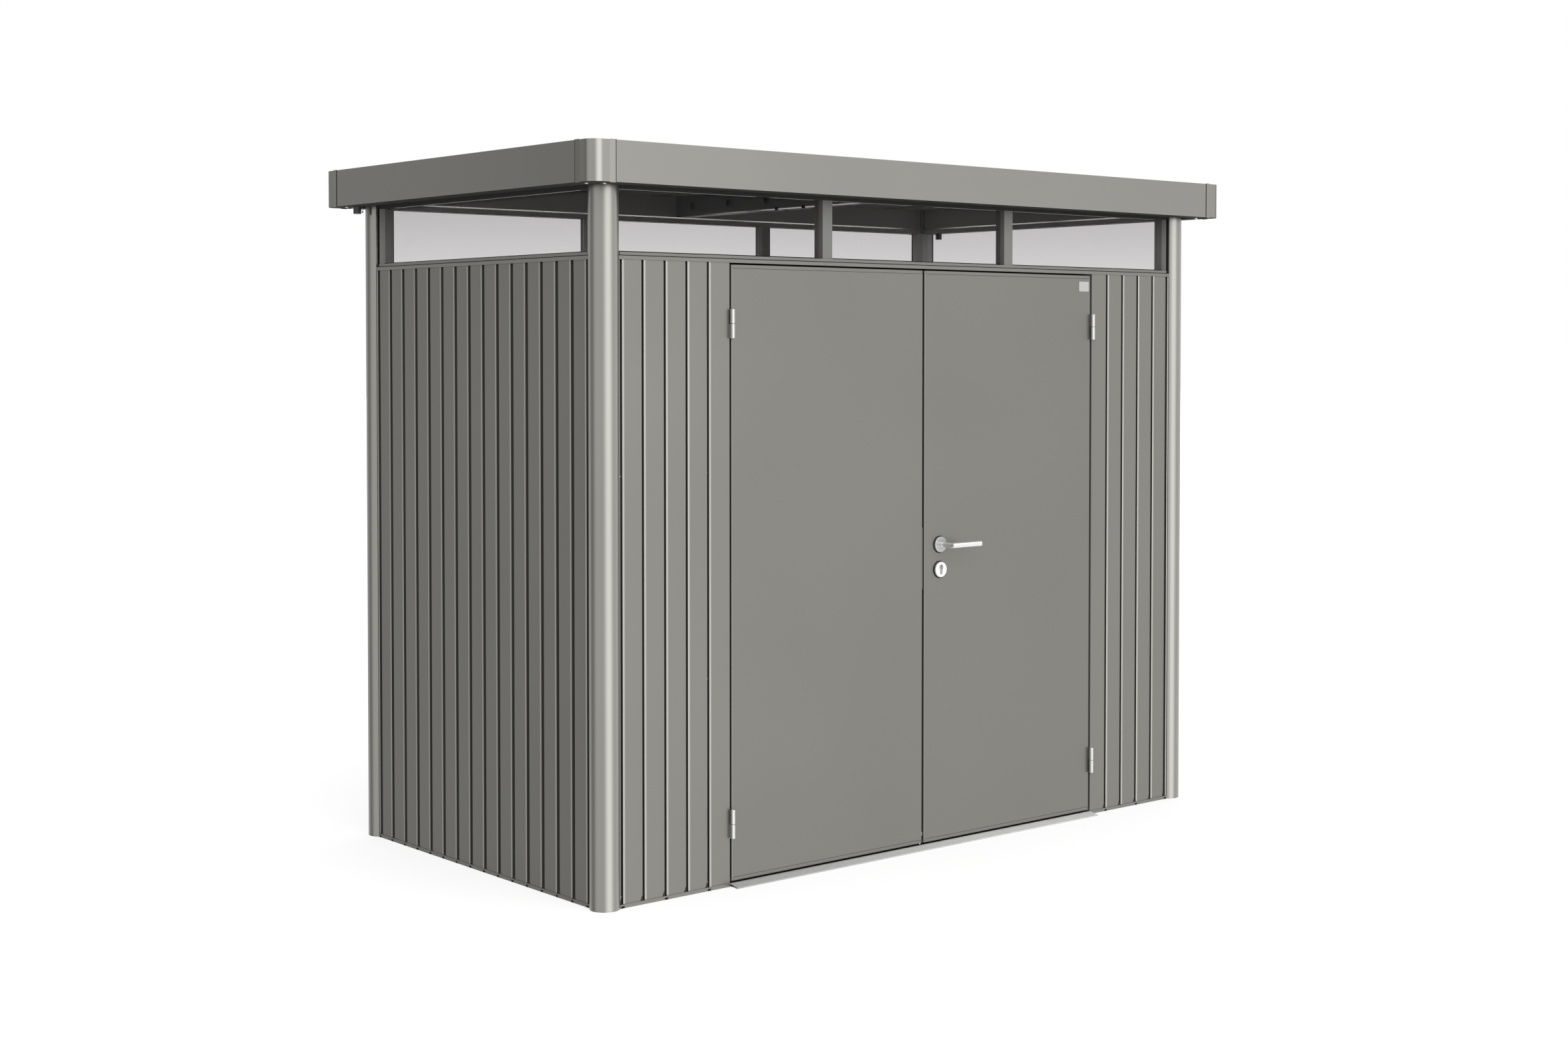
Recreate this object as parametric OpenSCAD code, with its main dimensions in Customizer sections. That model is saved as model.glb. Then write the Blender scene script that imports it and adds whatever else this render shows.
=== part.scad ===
// Flat-roofed metal tool shed with double doors, clerestory panes and round corner posts.
// Millimetres, +Z up, origin on the ground in the middle of the roof outline, doors face -Y.

/* [Roof] */
// Width of the roof over the fascia
roof_w = 2760; // [2400:10:3400]
// Depth of the roof over the fascia
roof_d = 1550; // [1300:10:2400]
// Height from the ground to the top of the fascia
total_h = 2220; // [2180:5:2400]
// How far the fascia stands out from the walls
overhang = 100; // [90:1:140]
// Height of the fascia
fascia_h = 120; // [100:1:140]
// Thickness of the folded fascia sheet
fascia_t = 1.5; // [1:0.1:3]
// Width of the soffit flange folded in under the fascia
soffit_w = 70; // [66:1:78]
// Width of the flange folded in on top of the fascia
top_flange_w = 34; // [20:1:60]
// Outer radius of the rounded roof corners
corner_r = 38; // [20:1:60]
// Leg length of each corner cap, measured from the corner
cap_leg = 81; // [80:1:120]
// Open joint between a corner cap and the fascia
cap_joint = 0.8; // [0.4:0.1:0.9]
// Depth of the roof sheet flats below the top of the fascia
roof_drop = 32; // [28:1:60]
// Spacing of the roof sheet ribs
roof_rib_pitch = 230; // [150:5:400]
// Width of a roof rib at its foot
roof_rib_w = 62; // [40:1:90]
// Width of a roof rib at its crest
roof_rib_top = 30; // [16:1:36]
// Height of a roof rib
roof_rib_h = 24; // [14:1:25]
// Width of the roof beam flange
beam_w = 44; // [30:1:70]
// Side of the square holes in the roof beam
beam_hole = 25; // [15:1:34]
// Spacing of the holes in the roof beam
beam_hole_pitch = 210; // [120:5:300]
// Outer diameter of a rainwater outlet
outlet_d = 24; // [16:1:30]
// Length of a rainwater outlet below the soffit
outlet_len = 25; // [15:1:60]
// Distance of an outlet from the rear edge of the roof
outlet_rear = 138; // [120:1:220]

/* [Posts and walls] */
// Outer diameter of a corner post
post_d = 90; // [80:1:96]
// Wall thickness of a corner post
post_t = 2.5; // [1.5:0.1:4]
// Distance of a post centre in from the wall planes
post_in = 31; // [28:1:34]
// Distance from a post centre to the flats that take the walls
post_flat = 33; // [30:1:36]
// Thickness of the wall sheets
sheet_t = 1; // [0.8:0.1:1.6]
// How far the wall sheets lie behind the base and sill faces
sheet_set = 2.5; // [2.5:0.5:6]
// Spacing of the upright grooves
groove_pitch = 80.5; // [60:0.5:120]
// Width of a groove at its mouth
groove_w = 13; // [11:1:20]
// Width of a groove at its floor
groove_floor = 7; // [4:1:9]
// Depth of a groove
groove_d = 9; // [6:0.5:10]
// Width of the flat lip that ends a sheet beside a post
post_lip = 3; // [2:0.5:8]
// Height of the front lip of the base rail
base_h = 11; // [8:0.5:16]
// Width of the base rail on the ground
base_w = 45; // [36:1:56]
// Thickness of the base rail and sill profiles
rail_t = 2; // [1.5:0.1:2.5]
// Width of a drain slot in the base rail
drain_w = 10; // [6:1:14]
// Height of a drain slot in the base rail
drain_h = 4; // [2:0.5:5]

/* [Windows] */
// Distance of the sill top below the top of the fascia
sill_drop = 310; // [270:5:420]
// Height of the sill profile
sill_h = 22; // [18:1:30]
// Height of the clear window band
window_h = 183; // [120:1:186]
// How far the upper sill, mullions and head rails lie behind the wall planes
frame_in = 14; // [10:1:16]
// Depth of the sill, mullions and head rails
frame_d = 42; // [36:1:48]
// Width of a mullion
mullion_w = 40; // [30:1:60]
// Panes in the front and in the back window band
pane_count = 3; // [2:1:5]
// Thickness of the panes
pane_t = 4; // [3:0.5:6]
// Thickness of the corner angles beside the panes
angle_t = 3.5; // [2:0.5:5]

/* [Doors] */
// Width of one door leaf
leaf_w = 795; // [600:1:850]
// Depth of a door leaf
leaf_d = 36; // [30:1:40]
// Thickness of the door skin
skin_t = 1.2; // [0.8:0.1:2]
// Gap between the two leaves
meet_gap = 8; // [7:0.5:12]
// Gap between a leaf and its jamb
jamb_gap = 7.5; // [7:0.5:10]
// Gap above and below a leaf
end_gap = 5.5; // [5:0.5:8]
// Height of the end strips at the top and bottom of a leaf
strip_h = 10; // [8:1:14]
// Width of the door frame stiles and rails
stile_w = 40; // [30:1:60]
// Wall thickness of the door frame profiles
stile_t = 1.5; // [1:0.1:2.5]
// Width of a door jamb profile
jamb_w = 36; // [30:1:50]
// Diameter of a hinge barrel
barrel_d = 16; // [14:0.5:18]
// Height of a hinge barrel
barrel_h = 88; // [60:1:120]
// Diameter of a hinge pin
pin_d = 8; // [6:0.5:9]
// Thickness of the hinge plates
plate_t = 2.5; // [2:0.1:3]
// Distance of the hinge axis in front of the door face
hinge_out = 10; // [9.5:0.5:12]
// Height of the lower hinges above the ground
hinge_low = 192; // [150:1:400]
// Distance of the upper hinges below the sill top
hinge_drop = 205; // [150:1:400]

/* [Lock] */
// Height of the lever above the ground
lever_z = 989; // [900:1:1100]
// Distance of the lever from the edge of its leaf
backset = 69; // [60:1:90]
// Drop from the lever to the key cylinder
key_drop = 82; // [72:1:95]
// Diameter of the roses
rose_d = 52; // [48:1:60]
// Thickness of the roses
rose_t = 9; // [7:0.5:11]
// Diameter of the lever bar
lever_d = 18; // [14:0.5:20]
// Length of the lever from its axis to its tip
lever_len = 126; // [90:1:140]
// Distance of the lever bar in front of the door face
lever_out = 66; // [50:1:72]
// Length of the strike and forend plates
strike_h = 200; // [120:1:240]

/* [Threshold] */
// How far the ramp reaches out in front of the base rail
ramp_out = 37; // [25:1:60]
// Thickness of the ramp plate
ramp_t = 1.5; // [1:0.1:2]
// Length of the fold under the front edge of the ramp
ramp_fold = 14; // [8:1:20]
// Open seam between the two ramp plates
ramp_seam = 0.8; // [0.4:0.1:0.9]

/* [Hidden] */
$fn = 48;

// Fits
seat = 0.3;
pin_fit = 0.15;
cut = 1;

// Wall planes and the lengths between the posts
wall_x = roof_w / 2 - overhang;
wall_y = roof_d / 2 - overhang;
post_stop = post_in + post_flat;
bay_x = wall_x - post_stop - seat;
bay_y = wall_y - post_stop - seat;

// Levels
sill_top = total_h - sill_drop;
sill_bottom = sill_top - sill_h;
sheet_top = sill_bottom + sill_h / 2 - rail_t;
head_z = sill_top + window_h;
roof_z = total_h - roof_drop;
soffit_z = total_h - fascia_h;
leaf_z0 = base_h + end_gap;
leaf_z1 = sill_bottom - end_gap;

// Doorway
leaf_x0 = meet_gap / 2;
leaf_x1 = leaf_x0 + leaf_w;
door_x = leaf_x1 + jamb_gap;
face_y = -wall_y + sheet_set;
hinge_side = 3;
hinge_x = leaf_x1 + hinge_side;
hinge_y = face_y - hinge_out;
hinge_z = [hinge_low, sill_top - hinge_drop];
lever_x = leaf_x0 + backset;

// Window band
frame_back = frame_in + frame_d;
rail_band = 18;
rail_ledge = 4;
web_v = frame_back - rail_ledge;
beam_z = head_z + rail_band + rail_t;
angle_stop = post_stop + seat + angle_t;
pane_v = frame_in + frame_d / 2;

powder = [0.53, 0.53, 0.51];
powder_dark = [0.36, 0.36, 0.35];
galvanised = [0.72, 0.72, 0.72];
steel = [0.78, 0.78, 0.77];
acrylic = [0.82, 0.80, 0.81, 0.5];

// Places what is drawn for the front wall (X along the wall, Y inward from 0) on each wall
module on_front() { translate([0, -wall_y, 0]) children(); }
module on_back() { mirror([0, 1, 0]) on_front() children(); }
module on_left() { translate([-wall_x, 0, 0]) rotate(-90) children(); }
module on_right() { mirror([1, 0, 0]) on_left() children(); }

// Extrudes a cross-section, drawn as inward distance and height, along a wall
module along_wall(x0, x1) {
    translate([x0, 0, 0]) rotate([90, 0, 90]) linear_extrude(x1 - x0) children();
}

// Rectangle with rounded corners, centred
module round_rect(w, d, r) {
    square([w - 2 * r, d], center = true);
    square([w, d - 2 * r], center = true);
    for (x = [-1, 1], y = [-1, 1])
        translate([x * (w / 2 - r), y * (d / 2 - r)]) circle(r);
}

// One trapezoid step in a sheet: out at the foot, in at the crest
function step_points(c, foot, crest, v0, v1) =
    [[c - foot, v0], [c - crest, v1], [c + crest, v1], [c + foot, v0]];

// Extra half width of a step on the far side of a sheet of thickness t
function step_grow(foot, crest, rise, t) = t * tan(atan2(rise, foot - crest) / 2);

function flat(list) = [for (item = list, point = item) point];
function reversed(list) = [for (i = [len(list) - 1 : -1 : 0]) list[i]];

// Groove centres: one beside each post, the rest laid out from the middle of a wall
// or from the edge of the doorway
post_room = 2.8 * groove_w;
function post_groove(limit) = limit - post_lip - groove_w / 2;
function centred_grooves(limit) =
    let (n = floor((limit - post_room) / groove_pitch + 0.5))
    concat([-post_groove(limit)], [for (i = [-n : n - 1]) (i + 0.5) * groove_pitch], [post_groove(limit)]);
function doorway_grooves(limit) =
    let (n = floor((limit - door_x - post_room) / groove_pitch))
    concat([for (i = [1 : n]) door_x + i * groove_pitch], [post_groove(limit)]);

// Cross-section of a grooved wall sheet; an end at the doorway is folded inward
module wall_section(x0, x1, centres, fold_start) {
    foot = groove_w / 2;
    crest = groove_floor / 2;
    grow = step_grow(foot, crest, groove_d, sheet_t);
    v0 = sheet_set;
    v1 = sheet_set + groove_d;
    front_start = fold_start ? [[x0, v1 + sheet_t], [x0, v0]] : [[x0, v0]];
    back_start = fold_start ? [[x0 + sheet_t, v1 + sheet_t], [x0 + sheet_t, v0 + sheet_t]]
        : [[x0, v0 + sheet_t]];
    front = concat(front_start,
        flat([for (c = centres) step_points(c, foot, crest, v0, v1)]), [[x1, v0]]);
    back = concat(back_start,
        flat([for (c = centres) step_points(c, foot + grow, crest + grow, v0 + sheet_t, v1 + sheet_t)]),
        [[x1, v0 + sheet_t]]);
    polygon(concat(front, reversed(back)));
}

module wall_sheet(x0, x1, centres, fold_start) {
    color(powder) translate([0, 0, rail_t]) linear_extrude(sheet_top - rail_t)
        wall_section(x0, x1, centres, fold_start);
}

// Base rail: flat foot with an upright lip in front of the wall sheet and drain slots in the lip
module base_rail(half, slots) {
    color(powder) difference() {
        along_wall(-half, half)
            polygon([[0, 0], [base_w, 0], [base_w, rail_t], [rail_t, rail_t], [rail_t, base_h], [0, base_h]]);
        for (x = slots) translate([x - drain_w / 2, -cut, -cut])
            cube([drain_w, rail_t + 2 * cut, drain_h + cut]);
    }
}

// Round post, flattened on the two sides that take the walls
module post_outline(radius, stop) {
    intersection() {
        circle(radius);
        translate([-radius, -radius]) square(radius + stop);
    }
}

module corner_post(sx, sy) {
    color(powder) mirror([sx > 0 ? 1 : 0, 0, 0]) mirror([0, sy > 0 ? 1 : 0, 0])
        translate([-wall_x + post_in, -wall_y + post_in, 0])
            linear_extrude(roof_z) difference() {
                post_outline(post_d / 2, post_flat);
                post_outline(post_d / 2 - post_t, post_flat - post_t);
            }
}

// Sill: front lip over the sheet, step back to the window plane, open underneath
module sill(half) {
    mid = sheet_top + rail_t;
    color(powder) along_wall(-half, half) polygon([
        [0, sill_bottom], [0, mid], [frame_in / 2, mid], [frame_in / 2, sill_top],
        [frame_back, sill_top], [frame_back, sill_bottom], [frame_back - rail_t, sill_bottom],
        [frame_back - rail_t, sill_top - rail_t], [frame_in / 2 + rail_t, sill_top - rail_t],
        [frame_in / 2 + rail_t, sheet_top], [rail_t, sheet_top], [rail_t, sill_bottom]]);
}

// Hollow head rail: glazing band below, small ledge, tall web up to the roof sheet
module head_rail(half) {
    ledge_z = beam_z - rail_t;
    color(powder_dark) along_wall(-half, half) difference() {
        polygon([[frame_in, head_z], [frame_back, head_z], [frame_back, ledge_z],
            [frame_back + rail_ledge, ledge_z], [frame_back + rail_ledge, beam_z],
            [web_v, beam_z], [web_v, roof_z], [frame_in, roof_z]]);
        polygon([[frame_in + rail_t, head_z + rail_t], [frame_back - rail_t, head_z + rail_t],
            [frame_back - rail_t, ledge_z], [web_v - rail_t, ledge_z],
            [web_v - rail_t, roof_z - rail_t], [frame_in + rail_t, roof_z - rail_t]]);
    }
}

// Window band between the corner angles, shared out by the mullions
band_x = wall_x - angle_stop;
band_y = wall_y - angle_stop;
bay_w = 2 * band_x / pane_count;

module mullion_row() {
    color(powder_dark) for (i = [1 : pane_count - 1])
        translate([-band_x + i * bay_w - mullion_w / 2, frame_in, sill_top]) difference() {
            cube([mullion_w, frame_d, window_h]);
            translate([rail_t, rail_t, -cut])
                cube([mullion_w - 2 * rail_t, frame_d - 2 * rail_t, window_h + 2 * cut]);
        }
}

module pane(x0, x1) {
    color(acrylic) translate([x0 + seat, pane_v - pane_t / 2, sill_top + seat])
        cube([x1 - x0 - 2 * seat, pane_t, window_h - 2 * seat]);
}

module pane_row() {
    for (i = [0 : pane_count - 1])
        pane(-band_x + i * bay_w + (i > 0 ? mullion_w / 2 : 0),
             -band_x + (i + 1) * bay_w - (i < pane_count - 1 ? mullion_w / 2 : 0));
}

module corner_angle() {
    inner = post_stop + seat;
    outer = frame_in - rail_t;
    translate([-wall_x, -wall_y, sill_top]) linear_extrude(window_h) difference() {
        translate([outer, outer]) square(angle_stop - outer);
        translate([outer - cut, outer - cut]) square(inner - outer + cut);
    }
}

// Fascia: folded sheet round the whole roof, then parted into sides and corner caps
module fascia_ring() {
    inner_r = corner_r - fascia_t;
    translate([0, 0, soffit_z]) {
        linear_extrude(fascia_h) difference() {
            round_rect(roof_w, roof_d, corner_r);
            round_rect(roof_w - 2 * fascia_t, roof_d - 2 * fascia_t, inner_r);
        }
        linear_extrude(fascia_t) difference() {
            round_rect(roof_w, roof_d, corner_r);
            square([roof_w - 2 * soffit_w, roof_d - 2 * soffit_w], center = true);
        }
        translate([0, 0, fascia_h - fascia_t]) linear_extrude(fascia_t) difference() {
            round_rect(roof_w, roof_d, corner_r);
            square([roof_w - 2 * top_flange_w, roof_d - 2 * top_flange_w], center = true);
        }
    }
}

fascia_x = roof_w / 2 - cap_leg - cap_joint;
fascia_y = roof_d / 2 - cap_leg - cap_joint;

module fascia_part(x0, x1, y0, y1) {
    intersection() {
        fascia_ring();
        translate([x0, y0, soffit_z - cut]) cube([x1 - x0, y1 - y0, fascia_h + 2 * cut]);
    }
}

outlet_x = roof_w / 2 - soffit_w + outlet_d;
outlet_y = roof_d / 2 - outlet_rear;

module outlet_bore(side) {
    translate([side * outlet_x, outlet_y, soffit_z - cut])
        cylinder(d = outlet_d + 2 * seat, h = fascia_t + 2 * cut);
}

// Outlet: short spout through the soffit, hung by its collar
module outlet(side) {
    collar = 5;
    spout_t = 2;
    translate([side * outlet_x, outlet_y, 0]) difference() {
        union() {
            translate([0, 0, soffit_z - outlet_len])
                cylinder(d = outlet_d, h = outlet_len + fascia_t + spout_t);
            translate([0, 0, soffit_z + fascia_t]) cylinder(d = outlet_d + 2 * collar, h = spout_t);
        }
        translate([0, 0, soffit_z - outlet_len - cut])
            cylinder(d = outlet_d - 2 * spout_t, h = outlet_len + fascia_t + spout_t + 2 * cut);
    }
}

// Door jamb: box profile behind the folded end of the front wall sheet
module door_jamb() {
    v0 = sheet_set + groove_d + sheet_t;
    depth = frame_back - rail_t - seat - v0;
    height = sill_top - 2 * rail_t;
    translate([door_x, v0, rail_t]) difference() {
        cube([jamb_w, depth, height]);
        translate([rail_t, rail_t, -cut])
            cube([jamb_w - 2 * rail_t, depth - 2 * rail_t, height + 2 * cut]);
    }
}

plate_margin = 4;
plate_len = leaf_d - plate_margin;
pin_short = 2;
knuckle_h = barrel_h / 2 - seat;

// Fixed half of a hinge: lower knuckle with the pin, plate on the jamb
module frame_hinge(z) {
    translate([hinge_x, hinge_y, z - barrel_h / 2]) {
        cylinder(d = barrel_d, h = knuckle_h);
        cylinder(d = pin_d, h = barrel_h - pin_short);
    }
    translate([door_x - plate_t, hinge_y, z - barrel_h / 2]) cube([plate_t, plate_len, knuckle_h]);
}

// Moving half of a hinge: upper knuckle bored for the pin, plate on the edge of the leaf
module leaf_hinge(z) {
    difference() {
        union() {
            translate([hinge_x, hinge_y, z + seat]) cylinder(d = barrel_d, h = knuckle_h);
            translate([leaf_x1, hinge_y, z + seat]) cube([plate_t, plate_len, knuckle_h]);
        }
        translate([hinge_x, hinge_y, z - cut]) cylinder(d = pin_d + 2 * pin_fit, h = barrel_h);
    }
}

edge_w = 4;
strip_line = 1;
strip_r = 4;
back_fold = 16;

// Plate in the plane of the door face, round at its two inner corners; edge is its side margin
module end_plate(edge, height, radius, depth) {
    width = leaf_w - 2 * edge;
    translate([leaf_x0 + edge, face_y + depth, 0]) rotate([90, 0, 0]) linear_extrude(depth) {
        square([width, height - radius]);
        translate([radius, 0]) square([width - 2 * radius, height]);
        for (x = [radius, width - radius]) translate([x, height - radius]) circle(radius);
    }
}

// Places what is drawn from 0 upward at the bottom, or upside down at the top, of a leaf
module at_leaf_ends() {
    translate([0, 0, leaf_z0]) children();
    translate([0, 0, leaf_z1]) mirror([0, 0, 1]) children();
}

// Door skin: flat face folded back on both long edges, with pockets for the end strips
module door_skin() {
    difference() {
        translate([leaf_x0, face_y, leaf_z0]) linear_extrude(leaf_z1 - leaf_z0) difference() {
            square([leaf_w, leaf_d]);
            translate([skin_t, skin_t]) square([leaf_w - 2 * skin_t, leaf_d - 2 * skin_t]);
            translate([back_fold, skin_t]) square([leaf_w - 2 * back_fold, leaf_d]);
        }
        at_leaf_ends() translate([0, -cut, -cut])
            end_plate(edge_w, strip_h + strip_line + cut, strip_r + strip_line, skin_t + 2 * cut);
    }
}

// End strip: channel that closes the skin, its face flush with the door face
module end_strip() {
    end_plate(edge_w + strip_line, strip_h, strip_r, skin_t);
    translate([leaf_x0 + edge_w + strip_line, face_y, 0])
        cube([leaf_w - 2 * (edge_w + strip_line), leaf_d - skin_t - seat, skin_t]);
}

frame_y0 = face_y + skin_t + seat;
frame_depth = leaf_d - 2 * (skin_t + seat);
frame_x0 = leaf_x0 + skin_t + seat;
frame_x1 = leaf_x1 - skin_t - seat;
frame_z0 = leaf_z0 + skin_t + seat;
frame_z1 = leaf_z1 - skin_t - seat;
rose_margin = 16;
lock_rail_h = key_drop + rose_d + 2 * rose_margin;
lock_rail_z = lever_z - key_drop / 2 - lock_rail_h / 2;

// Box profile standing or lying in the frame plane
module frame_bar(x, z, w, h) {
    translate([x, frame_y0, z]) difference() {
        cube([w, frame_depth, h]);
        translate([stile_t, stile_t, stile_t])
            cube([w - 2 * stile_t, frame_depth - 2 * stile_t, h - 2 * stile_t]);
    }
}

// Door frame inside the skin: two stiles, and three rails between them
module door_frame() {
    rail_x = frame_x0 + stile_w + seat;
    rail_w = frame_x1 - frame_x0 - 2 * (stile_w + seat);
    for (x = [frame_x0, frame_x1 - stile_w]) frame_bar(x, frame_z0, stile_w, frame_z1 - frame_z0);
    frame_bar(rail_x, frame_z0, rail_w, stile_w);
    frame_bar(rail_x, lock_rail_z, rail_w, lock_rail_h);
    frame_bar(rail_x, frame_z1 - stile_w, rail_w, stile_w);
}

// Lever axis on the right leaf, drawn from the door face along +Y
module at_lever() { translate([lever_x, face_y, lever_z]) rotate([-90, 0, 0]) children(); }
module at_key() { translate([lever_x, face_y, lever_z - key_drop]) rotate([-90, 0, 0]) children(); }

spindle_d = 9;
spindle_clear = 1.5;
neck_seat = 5;
rose_back = skin_t + 2 * seat + frame_depth;
key_d = 17;
key_fin_w = 10;
key_fin = 23.5;
key_rise = (key_fin - key_d / 2) / 2;

module spindle_bore() {
    at_lever() translate([0, 0, -cut]) cylinder(d = spindle_d + 2 * spindle_clear, h = leaf_d + 2 * cut);
}

// Keyhole cylinder outline in the middle of its rose: round plug with a straight fin below
module key_outline(grow) {
    translate([0, -key_rise]) {
        circle(d = key_d + 2 * grow);
        translate([-key_fin_w / 2 - grow, 0]) square([key_fin_w + 2 * grow, key_fin - key_fin_w / 2]);
        translate([0, key_fin - key_fin_w / 2]) circle(d = key_fin_w + 2 * grow);
    }
}

module key_bore() {
    at_key() translate([0, 0, -rose_t - cut])
        linear_extrude(leaf_d + 2 * rose_t + 2 * cut) key_outline(seat);
}

// Rose: shallow turned disc with a softened rim
module rose() {
    rim = 2;
    rotate_extrude() polygon([[0, 0], [rose_d / 2, 0], [rose_d / 2, rose_t - rim],
        [rose_d / 2 - rim, rose_t], [0, rose_t]]);
}

module rose_pair() {
    mirror([0, 0, 1]) rose();
    translate([0, 0, rose_back]) rose();
}

// Lever grip: neck out of the rose, mitred elbow and round bar with a softened tip
module lever_grip() {
    elbow = lever_out - rose_t + neck_seat;
    rim = lever_d / 6;
    room = 2 * lever_d;
    tip = lever_len + lever_d / 2;
    difference() {
        cylinder(d = lever_d, h = elbow + lever_d / 2);
        translate([0, 0, elbow]) rotate([0, 45, 0]) translate([-room, -room, 0]) cube(2 * room);
    }
    difference() {
        translate([-lever_d / 2, 0, elbow]) rotate([0, 90, 0]) rotate_extrude()
            polygon([[0, 0], [lever_d / 2, 0], [lever_d / 2, tip - rim], [lever_d / 2 - rim, tip], [0, tip]]);
        translate([0, 0, elbow]) rotate([0, 45, 0]) translate([-room, -room, -2 * room]) cube(2 * room);
    }
}

// Ramp plate: slope from the base rail down to the ground, folded back under its front edge
module ramp(x0, x1) {
    below_lip = 1;
    top = base_h - below_lip;
    nose = 2 * ramp_t + seat;
    slope = (top - nose) / (ramp_out - seat);
    front = -ramp_out;
    color(galvanised) on_front() along_wall(x0, x1) polygon([
        [-seat, top], [-seat, top - ramp_t], [front + ramp_t, nose - ramp_t + slope * ramp_t],
        [front + ramp_t, ramp_t], [front + ramp_fold, ramp_t], [front + ramp_fold, 0],
        [front, 0], [front, nose]]);
}

mid_y = centred_grooves(bay_y);
mid_x = centred_grooves(bay_x);
side_x = doorway_grooves(bay_x);

// Drain slots: under every groove, beside the doors under every second one
front_slots = [for (i = [0 : 2 : len(side_x) - 1]) side_x[i]];

module base_rail_front() {
    on_front() base_rail(bay_x, concat(-front_slots, front_slots));
}
module base_rail_back() { on_back() base_rail(bay_x, mid_x); }
module base_rail_left() { on_left() base_rail(bay_y, mid_y); }
module base_rail_right() { on_right() base_rail(bay_y, mid_y); }

module post_front_left() { corner_post(-1, -1); }
module post_front_right() { corner_post(1, -1); }
module post_rear_left() { corner_post(-1, 1); }
module post_rear_right() { corner_post(1, 1); }

module wall_front_right() { on_front() wall_sheet(door_x, bay_x, side_x, true); }
module wall_front_left() { mirror([1, 0, 0]) wall_front_right(); }
module wall_back() { on_back() wall_sheet(-bay_x, bay_x, mid_x, false); }
module wall_left() { on_left() wall_sheet(-bay_y, bay_y, mid_y, false); }
module wall_right() { on_right() wall_sheet(-bay_y, bay_y, mid_y, false); }

module sill_front() { on_front() sill(bay_x); }
module sill_back() { on_back() sill(bay_x); }
module sill_left() { on_left() sill(bay_y); }
module sill_right() { on_right() sill(bay_y); }

module panes_front() { on_front() pane_row(); }
module panes_back() { on_back() pane_row(); }
module panes_side() {
    on_left() pane(-band_y, band_y);
    on_right() pane(-band_y, band_y);
}
module mullions() {
    on_front() mullion_row();
    on_back() mullion_row();
}
module window_corner_angles() {
    color(powder_dark) for (x = [0, 1], y = [0, 1]) mirror([x, 0, 0]) mirror([0, y, 0]) corner_angle();
}

module head_rail_front() { on_front() head_rail(bay_x); }
module head_rail_back() { on_back() head_rail(bay_x); }
module head_rail_left() { on_left() head_rail(bay_y); }
module head_rail_right() { on_right() head_rail(bay_y); }

// Roof sheet: ribs from front to back, cut to the inside of the fascia
module roof_sheet() {
    edge = fascia_t + seat;
    half = roof_w / 2 - edge;
    foot = roof_rib_w / 2;
    crest = roof_rib_top / 2;
    grow = step_grow(foot, crest, roof_rib_h, sheet_t);
    n = floor((half - roof_rib_w) / roof_rib_pitch - 0.5);
    ribs = [for (i = [-n - 1 : n]) (i + 0.5) * roof_rib_pitch];
    under = concat([[-half, 0]],
        flat([for (c = ribs) step_points(c, foot, crest, 0, roof_rib_h)]), [[half, 0]]);
    upper = concat([[-half, sheet_t]],
        flat([for (c = ribs) step_points(c, foot + grow, crest + grow, sheet_t, roof_rib_h + sheet_t)]),
        [[half, sheet_t]]);
    color(powder) intersection() {
        translate([0, roof_d / 2, roof_z]) rotate([90, 0, 0]) linear_extrude(roof_d)
            polygon(concat(under, reversed(upper)));
        linear_extrude(total_h) round_rect(roof_w - 2 * edge, roof_d - 2 * edge, corner_r - edge);
    }
}

// Roof beam: top-hat rail under the middle of the roof, its webs holed
module roof_beam() {
    half = wall_y - web_v - seat;
    web = beam_w / 2;
    beam_h = roof_z - beam_z;
    hole_r = beam_hole / 5;
    n = floor((half - beam_hole) / beam_hole_pitch + 0.5);
    color(powder_dark) translate([0, 0, beam_z]) difference() {
        translate([0, half, 0]) rotate([90, 0, 0]) linear_extrude(2 * half) difference() {
            translate([-web, 0]) square([beam_w, beam_h]);
            translate([-web + rail_t, rail_t]) square([beam_w - 2 * rail_t, beam_h - 2 * rail_t]);
        }
        for (i = [-n : n - 1])
            translate([-web - cut, (i + 0.5) * beam_hole_pitch, beam_h / 2]) rotate([90, 0, 90])
                linear_extrude(beam_w + 2 * cut) round_rect(beam_hole, beam_hole, hole_r);
    }
}

module fascia_front() { color(powder) fascia_part(-fascia_x, fascia_x, -roof_d, 0); }
module fascia_back() { color(powder) fascia_part(-fascia_x, fascia_x, 0, roof_d); }
module fascia_left() {
    color(powder) difference() {
        fascia_part(-roof_w, 0, -fascia_y, fascia_y);
        outlet_bore(-1);
    }
}
module fascia_right() {
    color(powder) difference() {
        fascia_part(0, roof_w, -fascia_y, fascia_y);
        outlet_bore(1);
    }
}
module roof_corner_caps() {
    color(powder) for (x = [0, 1], y = [0, 1]) mirror([x, 0, 0]) mirror([0, y, 0])
        fascia_part(roof_w / 2 - cap_leg, roof_w, roof_d / 2 - cap_leg, roof_d);
}
module rainwater_outlets() { color(powder_dark) for (side = [-1, 1]) outlet(side); }

module door_jambs() {
    color(powder_dark) on_front() for (x = [0, 1]) mirror([x, 0, 0]) door_jamb();
}
module frame_hinges() {
    color(steel) for (x = [0, 1], z = hinge_z) mirror([x, 0, 0]) frame_hinge(z);
}
module threshold_ramps() {
    ramp(-door_x, -ramp_seam / 2);
    ramp(ramp_seam / 2, door_x);
}

module left_door_skin() { color(powder) mirror([1, 0, 0]) door_skin(); }
module left_door_frame() { color(powder_dark) mirror([1, 0, 0]) door_frame(); }
module left_door_end_strips() { color(powder) mirror([1, 0, 0]) at_leaf_ends() end_strip(); }
module left_door_hinges() { color(steel) mirror([1, 0, 0]) for (z = hinge_z) leaf_hinge(z); }

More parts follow.
